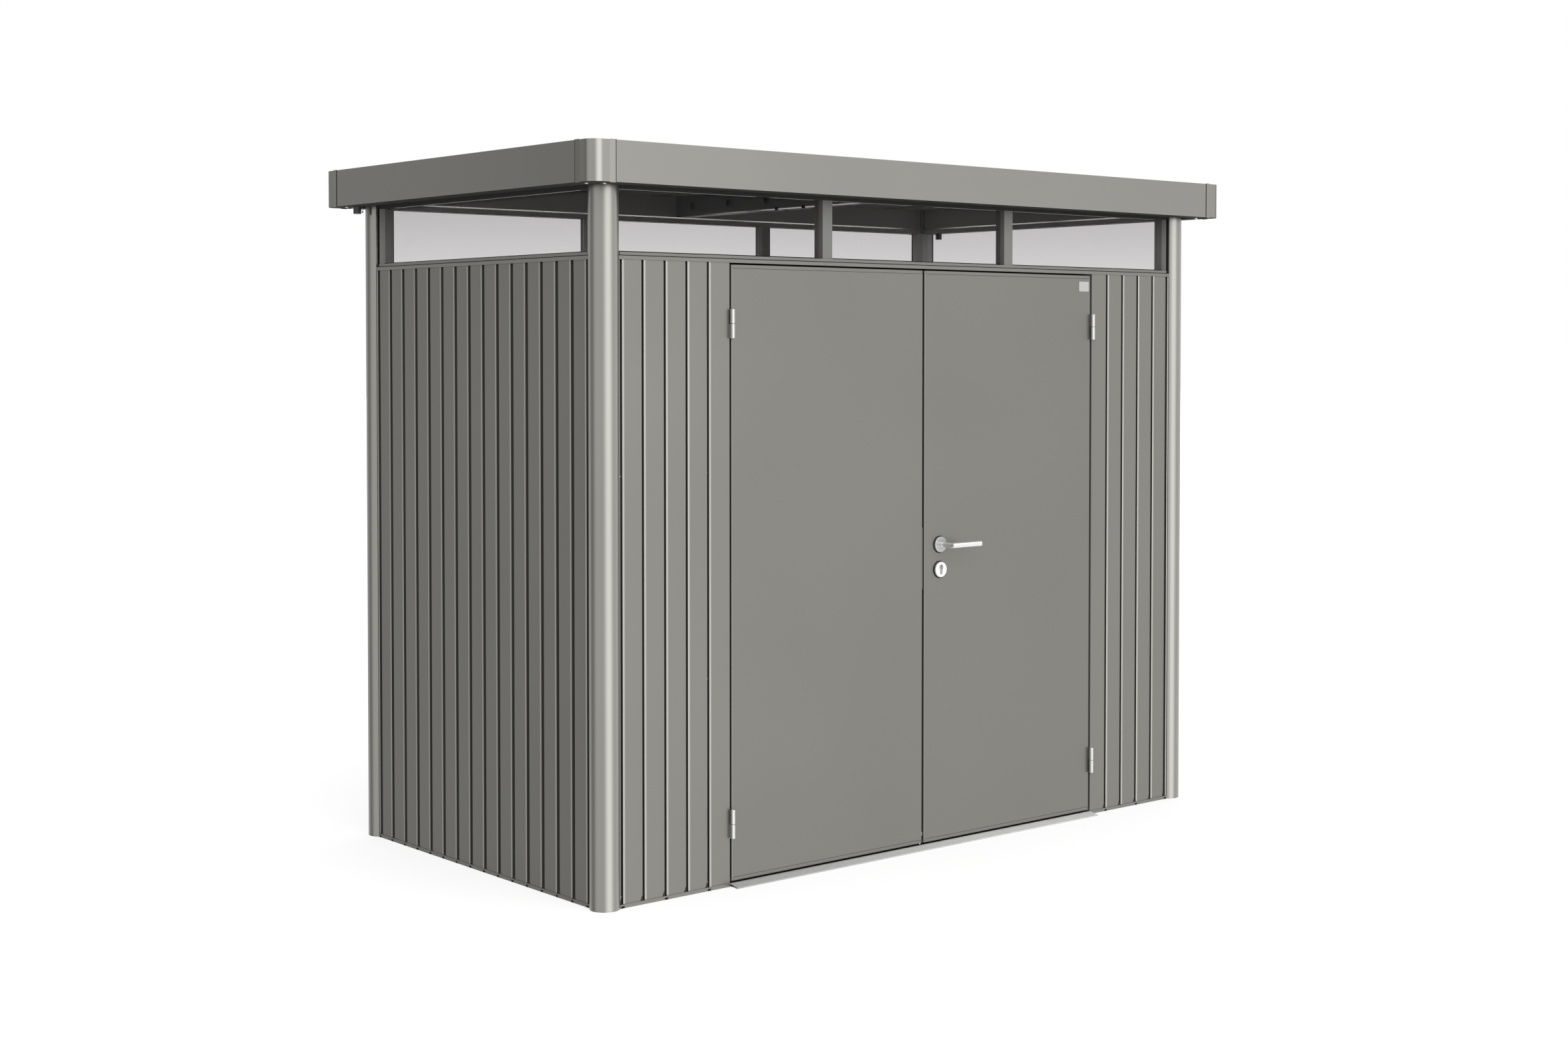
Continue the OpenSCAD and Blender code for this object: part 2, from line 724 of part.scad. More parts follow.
strike_t = 1;
strike_w = 22;
strike_z = lever_z - key_drop / 2 - strike_h / 2;
module strike_plate() {
    color(steel) translate([-leaf_x0, face_y, strike_z]) cube([strike_t, strike_w, strike_h]);
}

module right_door_skin() {
    color(powder) difference() {
        door_skin();
        spindle_bore();
        key_bore();
    }
}
module right_door_frame() {
    color(powder_dark) difference() {
        door_frame();
        spindle_bore();
        key_bore();
    }
}
module right_door_end_strips() { color(powder) at_leaf_ends() end_strip(); }
module right_door_hinges() { color(steel) for (z = hinge_z) leaf_hinge(z); }
module lock_forend() {
    color(steel) translate([leaf_x0 - strike_t, face_y + (leaf_d - strike_w) / 2, strike_z])
        cube([strike_t, strike_w, strike_h]);
}
module lock_roses() {
    color(steel) difference() {
        union() {
            at_lever() rose_pair();
            at_key() rose_pair();
        }
        at_lever() translate([0, 0, -rose_t - cut])
            cylinder(d = lever_d + 2 * seat, h = leaf_d + 2 * rose_t + 2 * cut);
        key_bore();
    }
}
module key_cylinder() {
    color(steel) at_key() translate([0, 0, -rose_t]) linear_extrude(rose_back + 2 * rose_t) key_outline(0);
}

// Lever: outer and inner grips on one spindle
module lever() {
    color(steel) at_lever() {
        translate([0, 0, -rose_t]) cylinder(d = spindle_d, h = rose_back + 2 * rose_t);
        mirror([0, 0, 1]) translate([0, 0, rose_t - neck_seat]) lever_grip();
        translate([0, 0, rose_back + rose_t - neck_seat]) lever_grip();
    }
}

base_rail_front();
base_rail_back();
base_rail_left();
base_rail_right();
post_front_left();
post_front_right();
post_rear_left();
post_rear_right();
wall_front_left();
wall_front_right();
wall_back();
wall_left();
wall_right();
sill_front();
sill_back();
sill_left();
sill_right();
panes_front();
panes_back();
panes_side();
mullions();
window_corner_angles();
head_rail_front();
head_rail_back();
head_rail_left();
head_rail_right();
roof_sheet();
roof_beam();
fascia_front();
fascia_back();
fascia_left();
fascia_right();
roof_corner_caps();
rainwater_outlets();
door_jambs();
frame_hinges();
threshold_ramps();
left_door_skin();
left_door_frame();
left_door_end_strips();
left_door_hinges();
strike_plate();
right_door_skin();
right_door_frame();
right_door_end_strips();
right_door_hinges();
lock_forend();
lock_roses();
key_cylinder();
lever();
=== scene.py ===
import math
import bmesh
import bpy
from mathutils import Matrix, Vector


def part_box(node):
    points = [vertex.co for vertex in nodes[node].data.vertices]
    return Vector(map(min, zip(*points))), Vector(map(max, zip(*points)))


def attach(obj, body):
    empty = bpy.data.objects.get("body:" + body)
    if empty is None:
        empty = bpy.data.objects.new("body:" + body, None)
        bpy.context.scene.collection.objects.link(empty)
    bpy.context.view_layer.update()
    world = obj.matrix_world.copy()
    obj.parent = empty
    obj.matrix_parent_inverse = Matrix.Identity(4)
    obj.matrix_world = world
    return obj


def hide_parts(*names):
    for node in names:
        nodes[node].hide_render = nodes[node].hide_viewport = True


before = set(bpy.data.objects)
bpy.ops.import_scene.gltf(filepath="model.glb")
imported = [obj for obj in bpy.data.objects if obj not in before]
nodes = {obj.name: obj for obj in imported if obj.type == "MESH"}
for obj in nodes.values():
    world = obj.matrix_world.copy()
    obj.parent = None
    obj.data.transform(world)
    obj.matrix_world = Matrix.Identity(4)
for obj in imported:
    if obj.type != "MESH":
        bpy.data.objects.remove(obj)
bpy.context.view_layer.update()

# Base rails: folded steel strips that lie on the ground between the posts.
# An upright lip in front holds the wall sheets; black plugs in the drain slots punched in it are painted
# shade.
# Powder coated like the sheets; the folds of the strip have a small radius.

up = Vector((0, 0, 1))
sides = {"front": Vector((0, -1, 0)), "back": Vector((0, 1, 0)),
         "left": Vector((-1, 0, 0)), "right": Vector((1, 0, 0))}


def add(tree, kind, inputs=None, **settings):
    """Places one shader node; an input is a value or the socket that feeds it."""
    made = tree.nodes.new(kind)
    for name, value in settings.items():
        setattr(made, name, value)
    for name, value in (inputs or {}).items():
        if isinstance(value, bpy.types.NodeSocket):
            tree.links.new(value, made.inputs[name])
        else:
            made.inputs[name].default_value = value
    return made


def effect_group(name, inputs, outputs):
    """An empty node group with float inputs (name, start value) and float outputs."""
    group = bpy.data.node_groups.new(name, "ShaderNodeTree")
    for label, start in inputs:
        socket = group.interface.new_socket(label, in_out="INPUT", socket_type="NodeSocketFloat")
        socket.default_value = start
    for label in outputs:
        group.interface.new_socket(label, in_out="OUTPUT", socket_type="NodeSocketFloat")
    return group, add(group, "NodeGroupInput").outputs, add(group, "NodeGroupOutput").inputs


def new_finish(name):
    """An empty material, its node tree and its shader."""
    material = bpy.data.materials.new(name)
    material.use_nodes = True
    return material, material.node_tree, material.node_tree.nodes["Principled BSDF"]


def tint(tree, mask, low, high):
    """Colour that runs from low to high with a mask."""
    mix = add(tree, "ShaderNodeMix", {0: mask, 6: (*low, 1.0), 7: (*high, 1.0)}, data_type="RGBA")
    return mix.outputs[2]


def spread(tree, mask, low, high):
    """Value that runs from low to high with a mask."""
    return add(tree, "ShaderNodeMapRange", {0: mask, 3: low, 4: high}).outputs[0]


# Orange peel of baked powder, its metal flake, and the slow drift of tone over a long sheet
coat_grain, given, result = effect_group(
    "coat_grain", (("Peel Scale", 380.0), ("Flake Scale", 2600.0)), ("Height", "Tone", "Haze"))
place = add(coat_grain, "ShaderNodeTexCoord").outputs["Object"]
peel = add(coat_grain, "ShaderNodeTexNoise",
           {"Vector": place, "Scale": given["Peel Scale"], "Detail": 2.0, "Roughness": 0.5})
flake = add(coat_grain, "ShaderNodeTexNoise",
            {"Vector": place, "Scale": given["Flake Scale"], "Detail": 1.0})
drift = add(coat_grain, "ShaderNodeTexNoise", {"Vector": place, "Scale": 1.7, "Detail": 1.5})
coat_grain.links.new(peel.outputs["Fac"], result["Height"])
coat_grain.links.new(drift.outputs["Fac"], result["Haze"])
part = add(coat_grain, "ShaderNodeMath", {0: flake.outputs["Fac"], 1: 0.35}, operation="MULTIPLY")
whole = add(coat_grain, "ShaderNodeMath", {0: drift.outputs["Fac"], 1: 0.65, 2: part.outputs[0]},
            operation="MULTIPLY_ADD")
coat_grain.links.new(whole.outputs[0], result["Tone"])


def powder_coat(name, low, high, metallic, rough, peel=0.05, edge=0.3):
    """Satin metallic powder paint between two tones; edge is its sheen at a glancing view."""
    material, tree, shader = new_finish(name)
    grain = add(tree, "ShaderNodeGroup", node_tree=coat_grain).outputs
    tree.links.new(tint(tree, grain["Tone"], low, high), shader.inputs["Base Color"])
    tree.links.new(spread(tree, grain["Haze"], rough - 0.02, rough + 0.02), shader.inputs["Roughness"])
    bump = add(tree, "ShaderNodeBump", {"Strength": peel, "Distance": 0.0004, "Height": grain["Height"]})
    tree.links.new(bump.outputs[0], shader.inputs["Normal"])
    shader.inputs["Metallic"].default_value = metallic
    shader.inputs["Specular Tint"].default_value = (edge, edge, edge, 1.0)
    shader.inputs["Specular IOR Level"].default_value = 0.3
    return material


sheet_paint = powder_coat("powder_sheet", (0.259, 0.255, 0.236), (0.295, 0.290, 0.269),
                          metallic=0.5, rough=0.31)


def speckled(name, scale, detail, low, high, rough, sheen=0.5):
    """Finish without flake or brushing: one fine noise sets its tone and its roughness."""
    material, tree, shader = new_finish(name)
    place = add(tree, "ShaderNodeTexCoord").outputs["Object"]
    noise = add(tree, "ShaderNodeTexNoise", {"Vector": place, "Scale": scale, "Detail": detail})
    speck = noise.outputs["Fac"]
    tree.links.new(tint(tree, speck, low, high), shader.inputs["Base Color"])
    tree.links.new(spread(tree, speck, *rough), shader.inputs["Roughness"])
    shader.inputs["Specular IOR Level"].default_value = sheen
    return material


# Black rubber; the same finish makes the dark pieces that are painted shade in gaps, slots and hollows
rubber_and_shade = speckled("black_rubber", 240.0, 3.0, (0.006, 0.006, 0.006), (0.014, 0.014, 0.013),
                  rough=(0.55, 0.75), sheen=0.12)


def smooth_piece(shape, name, material, body="shed", crease=35):
    """Turns a bmesh into a smooth-shaded piece of the object that rides on a body."""
    mesh = bpy.data.meshes.new(name)
    shape.to_mesh(mesh)
    shape.free()
    mesh.shade_smooth()
    mesh.set_sharp_from_angle(angle=math.radians(crease))
    mesh.materials.append(material)
    piece = bpy.data.objects.new(name, mesh)
    bpy.context.scene.collection.objects.link(piece)
    even = piece.modifiers.new("even_normals", "WEIGHTED_NORMAL")
    even.keep_sharp = True
    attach(piece, body)
    return piece


def cad_shape(node):
    """Mesh of a CAD node without the lines between the triangles of one face."""
    shape = bmesh.new()
    shape.from_mesh(nodes[node].data)
    bmesh.ops.remove_doubles(shape, verts=shape.verts, dist=2e-6)
    bmesh.ops.dissolve_limit(shape, angle_limit=math.radians(0.4), verts=shape.verts, edges=shape.edges)
    return shape


def soften(shape, radius, least, width):
    """Rounds the folds of a sheet; least is the shortest fold that counts, width the
    narrowest face beside one."""
    def is_fold(edge):
        length = edge.calc_length()
        return (len(edge.link_faces) == 2 and length > least and edge.calc_face_angle(0.0) > 0.35
                and all(face.calc_area() / length > width for face in edge.link_faces))

    bmesh.ops.bevel(shape, geom=[e for e in shape.edges if is_fold(e)], offset=radius,
                    offset_type="OFFSET", segments=5, profile=0.5, affect="EDGES", clamp_overlap=True)


def folded(node, radius, material, least=0.1, width=0.0014, body="shed"):
    """Copy of a CAD node with its folds rounded, in place of the node."""
    shape = cad_shape(node)
    soften(shape, radius, least, width)
    piece = smooth_piece(shape, node + "_folded", material, body)
    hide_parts(node)
    return piece


def looks_down(face):
    """True for the lower faces of a piece."""
    return face.normal.z < -0.3


def prism(shape, outline, along):
    """Closed prism from an outline of points, swept by a vector."""
    near = [shape.verts.new(p) for p in outline]
    far = [shape.verts.new(Vector(p) + Vector(along)) for p in outline]
    shape.faces.new(list(reversed(near)))
    shape.faces.new(far)
    for i in range(len(outline)):
        j = (i + 1) % len(outline)
        shape.faces.new((near[i], near[j], far[j], far[i]))


def closed_piece(shape, name, material, body="shed"):
    """Piece made of closed forms, whose faces are first turned outward."""
    bmesh.ops.recalc_face_normals(shape, faces=shape.faces)
    return smooth_piece(shape, name, material, body)


for side in sides:
    folded("base_rail_" + side, 0.0007, sheet_paint, least=0.03)

# Rim of a black plug round its drain slot, from the middle of the slot's upper edge; the plugs are painted
# shade in the slots
slot_rim = ((-0.0060, -0.0032), (0.0060, -0.0032), (0.0060, 0.0024), (-0.0060, 0.0024))
rim_t, plug_fit, ground_gap, slot_least = 0.0003, 0.96, 0.0001, 0.003
shape = bmesh.new()
for side, outward in sides.items():
    rail = cad_shape("base_rail_" + side)
    across = outward.cross(up)
    for roof in rail.faces:
        middle = roof.calc_center_median()
        if looks_down(roof) and middle.z > slot_least:
            plug = [middle.lerp(corner.co, plug_fit) for corner in roof.verts]
            prism(shape, plug, (0, 0, ground_gap - middle.z))
            half = max(outward.dot(corner.co - middle) for corner in roof.verts)
            rim = [middle + outward * half + across * a + up * b for a, b in slot_rim]
            prism(shape, rim, outward * rim_t)
    rail.free()
closed_piece(shape, "drain_slot_shades", rubber_and_shade)

# Corner posts: round steel tubes with two flats that take the wall sheets.
# They carry the roof. Their paint is the same grey, a little glossier on the drawn tube.

post_paint = powder_coat("powder_post", (0.311, 0.306, 0.284), (0.347, 0.342, 0.318),
                         metallic=0.75, rough=0.22, peel=0.035, edge=0.9)


def dress(node, material):
    """Gives a CAD node that keeps its shape its finish."""
    nodes[node].data.materials.clear()
    nodes[node].data.materials.append(material)


for corner in ("front_left", "front_right", "rear_left", "rear_right"):
    dress("post_" + corner, post_paint)

# Wall sheets: thin zinc-coated steel with upright rolled grooves, between base rail and sill.
# The rolls leave a sloping lip along each groove, made paler as a painted highlight, and the groove's dull
# dark coat, which covers the rear lips of the side walls too, is painted shade. Small pan-head screws hold
# the sheets beside the doors.

# Distance from the groove and depth, from the flat of the sheet over the lip into the groove
shoulder = ((0.0040, 0.0), (0.0028, 0.00014), (0.0018, 0.0004), (-0.0028, 0.0022), (-0.0032, 0.0036))
# How far the shoulders are set back from the grooves, and how much of a narrow flat they may take
front_set_back, side_set_back, flat_share = 0.0004, 0.0030, 0.8
# A groove is at least this deep, and its walls lean by a distance within these limits
groove_least, lean_least, lean_most = 0.005, 0.001, 0.006


def rolled_outline(corners, outward, set_back):
    """Section of a wall sheet with a shoulder at each lip of its grooves, and the lips, each with
    its direction away from the groove."""
    path, lips = [], []
    for before, point, after in zip(corners[-1:] + corners[:-1], corners, corners[1:] + corners[:1]):
        for groove, flat in ((after, before), (before, after)):
            down = (point - groove).dot(outward)
            lean = (point - groove) - down * outward
            if groove_least < down and lean_least < lean.length < lean_most:
                fit = min(1.0, flat_share * (flat - point).length / shoulder[0][0])
                steps = [point + lean.normalized() * (away + set_back) * fit - outward * depth * fit
                         for away, depth in shoulder]
                path += steps if groove is after else steps[::-1]
                lips.append((point, lean.normalized()))
                break
        else:
            path.append(point)
    return path, lips


def refinish(piece, material, chosen):
    """Gives the chosen faces of a piece a finish of their own."""
    piece.data.materials.append(material)
    for face in piece.data.polygons:
        if chosen(face):
            face.material_index = len(piece.data.materials) - 1


# Paler coat of the groove lips: a painted highlight
lip_highlight_paint = powder_coat("powder_lip_painted_highlight", (0.350, 0.344, 0.320), (0.395, 0.388, 0.361),
                        metallic=0.5, rough=0.31)
# Dark coat of the grooves: painted shade
groove_shade_paint = powder_coat("powder_groove_painted_shade", (0.050, 0.049, 0.046), (0.066, 0.065, 0.061),
                           metallic=0.1, rough=0.55)
# Depths behind the flat of a sheet at which the painted highlight and the painted shade start and end
lip_from, lip_to, groove_to, rear_lip_from = 0.0003, 0.0024, 0.0095, 0.0009
# The painted shade widens toward one lip at the foot of a groove: distance from that lip and height
foot_patch = ((-0.003, 0.0), (0.008, 0.0), (-0.001, 0.015))
patch_t, patch_sink = 0.0003, 0.0005
patch_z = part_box("base_rail_front")[1].z - patch_sink
foot_shades = bmesh.new()
for wall in ("front_left", "front_right", "back", "left", "right"):
    outward = sides[wall.split("_")[0]]
    sheet = cad_shape("wall_" + wall)
    low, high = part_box("wall_" + wall)
    end = max((face for face in sheet.faces if looks_down(face)), key=lambda face: face.calc_area())
    section, lips = rolled_outline([corner.co.copy() for corner in end.verts], outward,
                                   front_set_back if outward.y else side_set_back)
    sheet.free()
    turned = sum(a.x * b.y - b.x * a.y for a, b in zip(section, section[1:] + section[:1]))
    shape = bmesh.new()
    prism(shape, section if turned > 0 else section[::-1], (0, 0, high.z - low.z))
    soften(shape, radius=0.0011, least=0.5, width=0.0026)
    piece = smooth_piece(shape, "wall_" + wall + "_rolled", sheet_paint)
    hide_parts("wall_" + wall)
    flat_plane = max(outward.dot(low), outward.dot(high))
    refinish(piece, lip_highlight_paint, lambda face: 0.3 < outward.dot(face.normal) < 0.99
             and lip_from < flat_plane - outward.dot(face.center) < lip_to)
    refinish(piece, groove_shade_paint, lambda face: outward.dot(face.normal) > 0.001
             and (lip_to if face.normal.y < 0.1 or outward.y else rear_lip_from)
             < flat_plane - outward.dot(face.center) < groove_to)
    toward = outward.cross(up) if outward.y else up.cross(outward)
    for lip, away in lips:
        if away.dot(toward) > 0:
            foot = Vector((lip.x, lip.y, patch_z))
            prism(foot_shades, [foot + away * a + up * b for a, b in foot_patch], outward * patch_t)
closed_piece(foot_shades, "groove_foot_shades", groove_shade_paint)

# Streaks of a brushed or drawn metal along one direction
brushed, given, result = effect_group(
    "brushed", (("Along", 60.0), ("Across", 3000.0)), ("Streak", "Height"))
place = add(brushed, "ShaderNodeTexCoord").outputs["Object"]
spacing = add(brushed, "ShaderNodeCombineXYZ",
              {"X": given["Along"], "Y": given["Across"], "Z": given["Across"]})
stretched = add(brushed, "ShaderNodeVectorMath", {0: place, 1: spacing.outputs[0]}, operation="MULTIPLY")
streak = add(brushed, "ShaderNodeTexNoise", {"Vector": stretched.outputs[0], "Scale": 1.0, "Detail": 3.0})
brushed.links.new(streak.outputs["Fac"], result["Streak"])
brushed.links.new(streak.outputs["Fac"], result["Height"])


def bare_steel(name, low, high, rough, along, across, metallic=1.0):
    """Uncoated steel with fine brushing; satin finishes are less metallic."""
    material, tree, shader = new_finish(name)
    streaks = add(tree, "ShaderNodeGroup", {"Along": along, "Across": across}, node_tree=brushed).outputs
    tree.links.new(tint(tree, streaks["Streak"], low, high), shader.inputs["Base Color"])
    tree.links.new(spread(tree, streaks["Streak"], rough + 0.06, rough - 0.06), shader.inputs["Roughness"])
    bump = add(tree, "ShaderNodeBump", {"Strength": 0.04, "Distance": 0.0002, "Height": streaks["Height"]})
    tree.links.new(bump.outputs[0], shader.inputs["Normal"])
    shader.inputs["Metallic"].default_value = metallic
    return material


def join_rings(shape, rings):
    """Faces between each ring of vertices and the next."""
    for below, above in zip(rings, rings[1:]):
        for i in range(len(below)):
            j = (i + 1) % len(below)
            shape.faces.new((below[i], below[j], above[j], above[i]))


def screw_heads(name, places, radius, height, material):
    """Pan-head screws with a cross recess, each at a point and facing outward."""
    shape = bmesh.new()
    count, cross = 16, (1.0, 0.6, 0.34, 0.6)
    # Share of the radius, share of the height, and whether the ring follows the cross
    profile = ((1.0, 0.0, False), (1.0, 0.35, False), (0.87, 0.74, False), (0.62, 0.96, False),
               (0.46, 1.0, True), (0.44, 0.45, True))
    for point, outward in places:
        turn = Vector(outward).to_track_quat("Z", "X").to_matrix()
        rings = []
        for reach, rise, recess in profile:
            ring = []
            for i in range(count):
                r = radius * reach * (cross[i % 4] if recess else 1.0)
                angle = math.tau * i / count
                local = Vector((r * math.cos(angle), r * math.sin(angle), height * rise))
                ring.append(shape.verts.new(Vector(point) + turn @ local))
            rings.append(ring)
        shape.faces.new(list(reversed(rings[0])))
        join_rings(shape, rings)
        shape.faces.new(rings[-1])
    return smooth_piece(shape, name, material)


screw_steel = bare_steel("screw_steel", (0.42, 0.42, 0.41), (0.6, 0.6, 0.58),
                         rough=0.3, along=900.0, across=900.0)
# Distance of each row of screws from the middle of the shed, and the heights of its screws
screw_rows = ((0.887, (0.026, 0.640, 1.259)), (1.2062, (0.031, 1.259)))
sheet_t = 0.001
screw_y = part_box("wall_front_left")[1].y - sheet_t
screw_heads("wall_screws", [((side * x, screw_y, z), (0, -1, 0)) for side in (-1, 1)
                            for x, heights in screw_rows for z in heights],
            radius=0.0032, height=0.0022, material=screw_steel)

# Window sills: folded profile in two steps over the top of the wall sheets.
# The lower lip covers the sheet, the upper step carries the panes.

sill_paint = powder_coat("powder_sill", (0.268, 0.264, 0.245), (0.304, 0.299, 0.278),
                         metallic=0.15, rough=0.36, edge=0.9)
for side in sides:
    folded("sill_" + side, 0.0009, sill_paint)

# Window band: clear acrylic panes between box mullions and folded corner angles.
# Black strips run in the gap between an angle and its post; black strips at the foot of each pane
# and in the joint between the two steps of the sill are painted shadow lines, and black rubber closes the
# sill's ends.

mullion_paint = powder_coat("powder_mullion", (0.258, 0.255, 0.243), (0.292, 0.289, 0.275),
                            metallic=0.15, rough=0.32, edge=0.9)
folded("mullions", 0.0018, mullion_paint)
# Paler than the sheets' grey: painted light for the shade under the roof
lit_angle_paint = powder_coat("powder_angle_painted_light", (0.520, 0.515, 0.495), (0.580, 0.575, 0.552),
                          metallic=0.1, rough=0.36, edge=0.9)
folded("window_corner_angles", 0.0006, lit_angle_paint)

# Painted shade: the panes' colour darkens a little toward the roof, between these heights
pane_shade_from, pane_shade_to = 1.91, 2.09
acrylic, tree, shader = new_finish("clear_acrylic")
place = add(tree, "ShaderNodeTexCoord").outputs["Object"]
sheen = add(tree, "ShaderNodeTexNoise", {"Vector": place, "Scale": 2.2, "Detail": 1.0}).outputs["Fac"]
height = add(tree, "ShaderNodeSeparateXYZ", {0: place}).outputs["Z"]
rise = add(tree, "ShaderNodeMapRange", {0: height, 1: pane_shade_from, 2: pane_shade_to}).outputs[0]
tree.links.new(tint(tree, rise, (0.838, 0.824, 0.829), (0.748, 0.732, 0.738)), shader.inputs["Base Color"])
tree.links.new(spread(tree, sheen, 0.0, 0.012), shader.inputs["Roughness"])
shader.inputs["Transmission Weight"].default_value = 1.0
shader.inputs["IOR"].default_value = 1.12
for panes in ("front", "back", "side"):
    dress("panes_" + panes, acrylic)


def bead(shape, start, along, across, out):
    """Bead with a domed section, swept from start; across is its width, out its height."""
    dome = ((0.0, 0.0), (1.0, 0.0), (1.0, 0.6), (0.8, 0.9), (0.5, 1.0), (0.2, 0.9), (0.0, 0.6))
    prism(shape, [Vector(start) + Vector(across) * a + Vector(out) * b for a, b in dome], along)


# Where the seals end beside the posts, the face of the sill's upper step, and the seals' sizes
seal_x, seal_y, step_x, step_y = 1.2157, 0.6107, 1.273, 0.668
corner_lip = ((0.0, 0.0), (0.0028, 0.0), (0.0036, 0.0008), (0.0036, 0.0052), (0.0, 0.0052))
corner_out = 0.0055
pane_w, pane_h, pane_inset = 0.003, 0.0038, 0.0037
joint_w, joint_h, joint_inset = 0.0018, 0.0024, 0.0002
end_w, end_h, step_rise = 0.0065, 0.001, 0.002
low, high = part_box("window_corner_angles")
sill_z, band_tall = low.z, (0, 0, high.z - low.z)
step_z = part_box("wall_left")[1].z + step_rise
step_tall = (0, 0, sill_z - step_z)
front_pane, side_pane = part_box("panes_front")[0].y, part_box("panes_side")[0].x
# The black strips at the pane feet and in the sill's joint are painted shadow lines
shape = bmesh.new()
for sx in (-1, 1):
    for sy in (-1, 1):
        on_front = [(sx * (seal_x - a), sy * (high.y + corner_out - b), sill_z) for a, b in corner_lip]
        on_side = [(sx * (high.x + corner_out - b), sy * (seal_y - a), sill_z) for a, b in corner_lip]
        prism(shape, on_front, band_tall)
        prism(shape, on_side, band_tall)
for s in (-1, 1):
    reach_x, reach_y = seal_x - pane_inset, seal_y - pane_inset
    bead(shape, (-reach_x, s * -front_pane, sill_z), (2 * reach_x, 0, 0),
         (0, s * pane_w, 0), (0, 0, pane_h))
    bead(shape, (s * -side_pane, -reach_y, sill_z), (0, 2 * reach_y, 0),
         (s * pane_w, 0, 0), (0, 0, pane_h))
    reach_x, reach_y = seal_x - joint_inset, seal_y - joint_inset
    bead(shape, (-reach_x, s * step_y, step_z), (2 * reach_x, 0, 0),
         (0, s * joint_w, 0), (0, 0, joint_h))
    bead(shape, (s * step_x, -reach_y, step_z), (0, 2 * reach_y, 0),
         (s * joint_w, 0, 0), (0, 0, joint_h))
    for t in (-1, 1):
        bead(shape, (t * seal_x, s * step_y, step_z), (t * -end_w, 0, 0), step_tall, (0, s * end_h, 0))
        bead(shape, (s * step_x, t * seal_y, step_z), (0, t * -end_w, 0), step_tall, (s * end_h, 0, 0))
closed_piece(shape, "window_seals_and_shadow_lines", rubber_and_shade)

# Head rails: hollow steel profiles over the window band that carry the roof sheet.
# Their pale grey inside is painted light, and the dull dark coat outside, where the roof edge hides them,
# is painted shade.
# A small ledge runs along their inner side; its rolled zinc edge shines.

soffit_shade_paint = speckled("soffit_painted_shade", 90.0, 3.0, (0.072, 0.071, 0.069), (0.100, 0.099, 0.095),
                  rough=(0.8, 0.95), sheen=0.05)
lit_rail_paint = powder_coat("powder_rail_painted_light", (0.640, 0.636, 0.620), (0.720, 0.716, 0.698),
                         metallic=0.0, rough=0.4)
# Outer and lower faces get the painted shade, the others the painted light
for side, outward in sides.items():
    refinish(folded("head_rail_" + side, 0.0012, lit_rail_paint), soffit_shade_paint,
             lambda face: outward.dot(face.normal) > 0.05 or looks_down(face))

ledge_zinc = bare_steel("ledge_zinc", (0.42, 0.42, 0.41), (0.52, 0.52, 0.51),
                        rough=0.16, along=60.0, across=2000.0)
ledge_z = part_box("roof_beam")[0].z
ledge_x, ledge_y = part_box("head_rail_right")[0].x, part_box("head_rail_back")[0].y
edge_drop = 0.0045
rolled_edge = ((0.0, -edge_drop), (0.0010, -edge_drop), (0.0014, 0.0), (0.0, 0.0))
shape = bmesh.new()
for s in (-1, 1):
    prism(shape, [(-ledge_x, s * (ledge_y - a), ledge_z + b) for a, b in rolled_edge], (2 * ledge_x, 0, 0))
    prism(shape, [(s * (ledge_x - a), -ledge_y, ledge_z + b) for a, b in rolled_edge], (0, 2 * ledge_y, 0))
closed_piece(shape, "ledge_edges", ledge_zinc)

# Roof: ribbed steel sheet in a matt coat that drains to the rear, held up by one holed beam.
# A grey fleece that takes up condensed water lines the sheet from below.
# The beam's lower edges are bare zinc; spring clips sit on them.

fleece = speckled("grey_fleece", 700.0, 4.0, (0.560, 0.560, 0.550), (0.640, 0.640, 0.628),
                  rough=(0.85, 1.0), sheen=0.1)
matt_paint = powder_coat("powder_roof", (0.244, 0.240, 0.222), (0.278, 0.273, 0.253),
                         metallic=0.1, rough=0.66, peel=0.06)
refinish(folded("roof_sheet", 0.003, matt_paint, least=0.5, width=0.01), fleece, looks_down)
beam_paint = powder_coat("powder_beam", (0.270, 0.267, 0.256), (0.320, 0.317, 0.303),
                         metallic=0.1, rough=0.48, peel=0.06)
dress("roof_beam", beam_paint)

beam_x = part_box("roof_beam")[1].x
beam_inset = 0.003
beam_reach = ledge_y - beam_inset
shape = bmesh.new()
for side in (-1, 1):
    prism(shape, [(side * (beam_x + a), -beam_reach, ledge_z + edge_drop + b) for a, b in rolled_edge],
          (0, 2 * beam_reach, 0))
closed_piece(shape, "beam_edges", ledge_zinc)

clip = ((-0.006, -0.0012), (0.0022, -0.0012), (0.0022, 0.009), (0.0, 0.009), (0.0, 0.0), (-0.006, 0.0))
clip_w, clip_places = 0.016, (-0.105, 0.038)
shape = bmesh.new()
for y in clip_places:
    for side in (-1, 1):
        prism(shape, [(side * (beam_x + a), y, ledge_z + b) for a, b in clip], (0, clip_w, 0))
closed_piece(shape, "beam_clips", rubber_and_shade)

# Fascia and corner caps: folded sheet round the roof edge, with pressed rounded corners.
# A cap overlaps the sides and is held from below by two screws through the soffit, whose dull dark coat is
# painted shade.

fascia_paint = powder_coat("powder_fascia", (0.300, 0.296, 0.277), (0.334, 0.330, 0.308),
                           metallic=0.92, rough=0.22, peel=0.035)
# The lower faces of fascia and caps get the soffit's painted shade
for side in sides:
    refinish(folded("fascia_" + side, 0.0030, fascia_paint, least=0.5), soffit_shade_paint, looks_down)
refinish(folded("roof_corner_caps", 0.0028, fascia_paint, least=0.0005), soffit_shade_paint, looks_down)
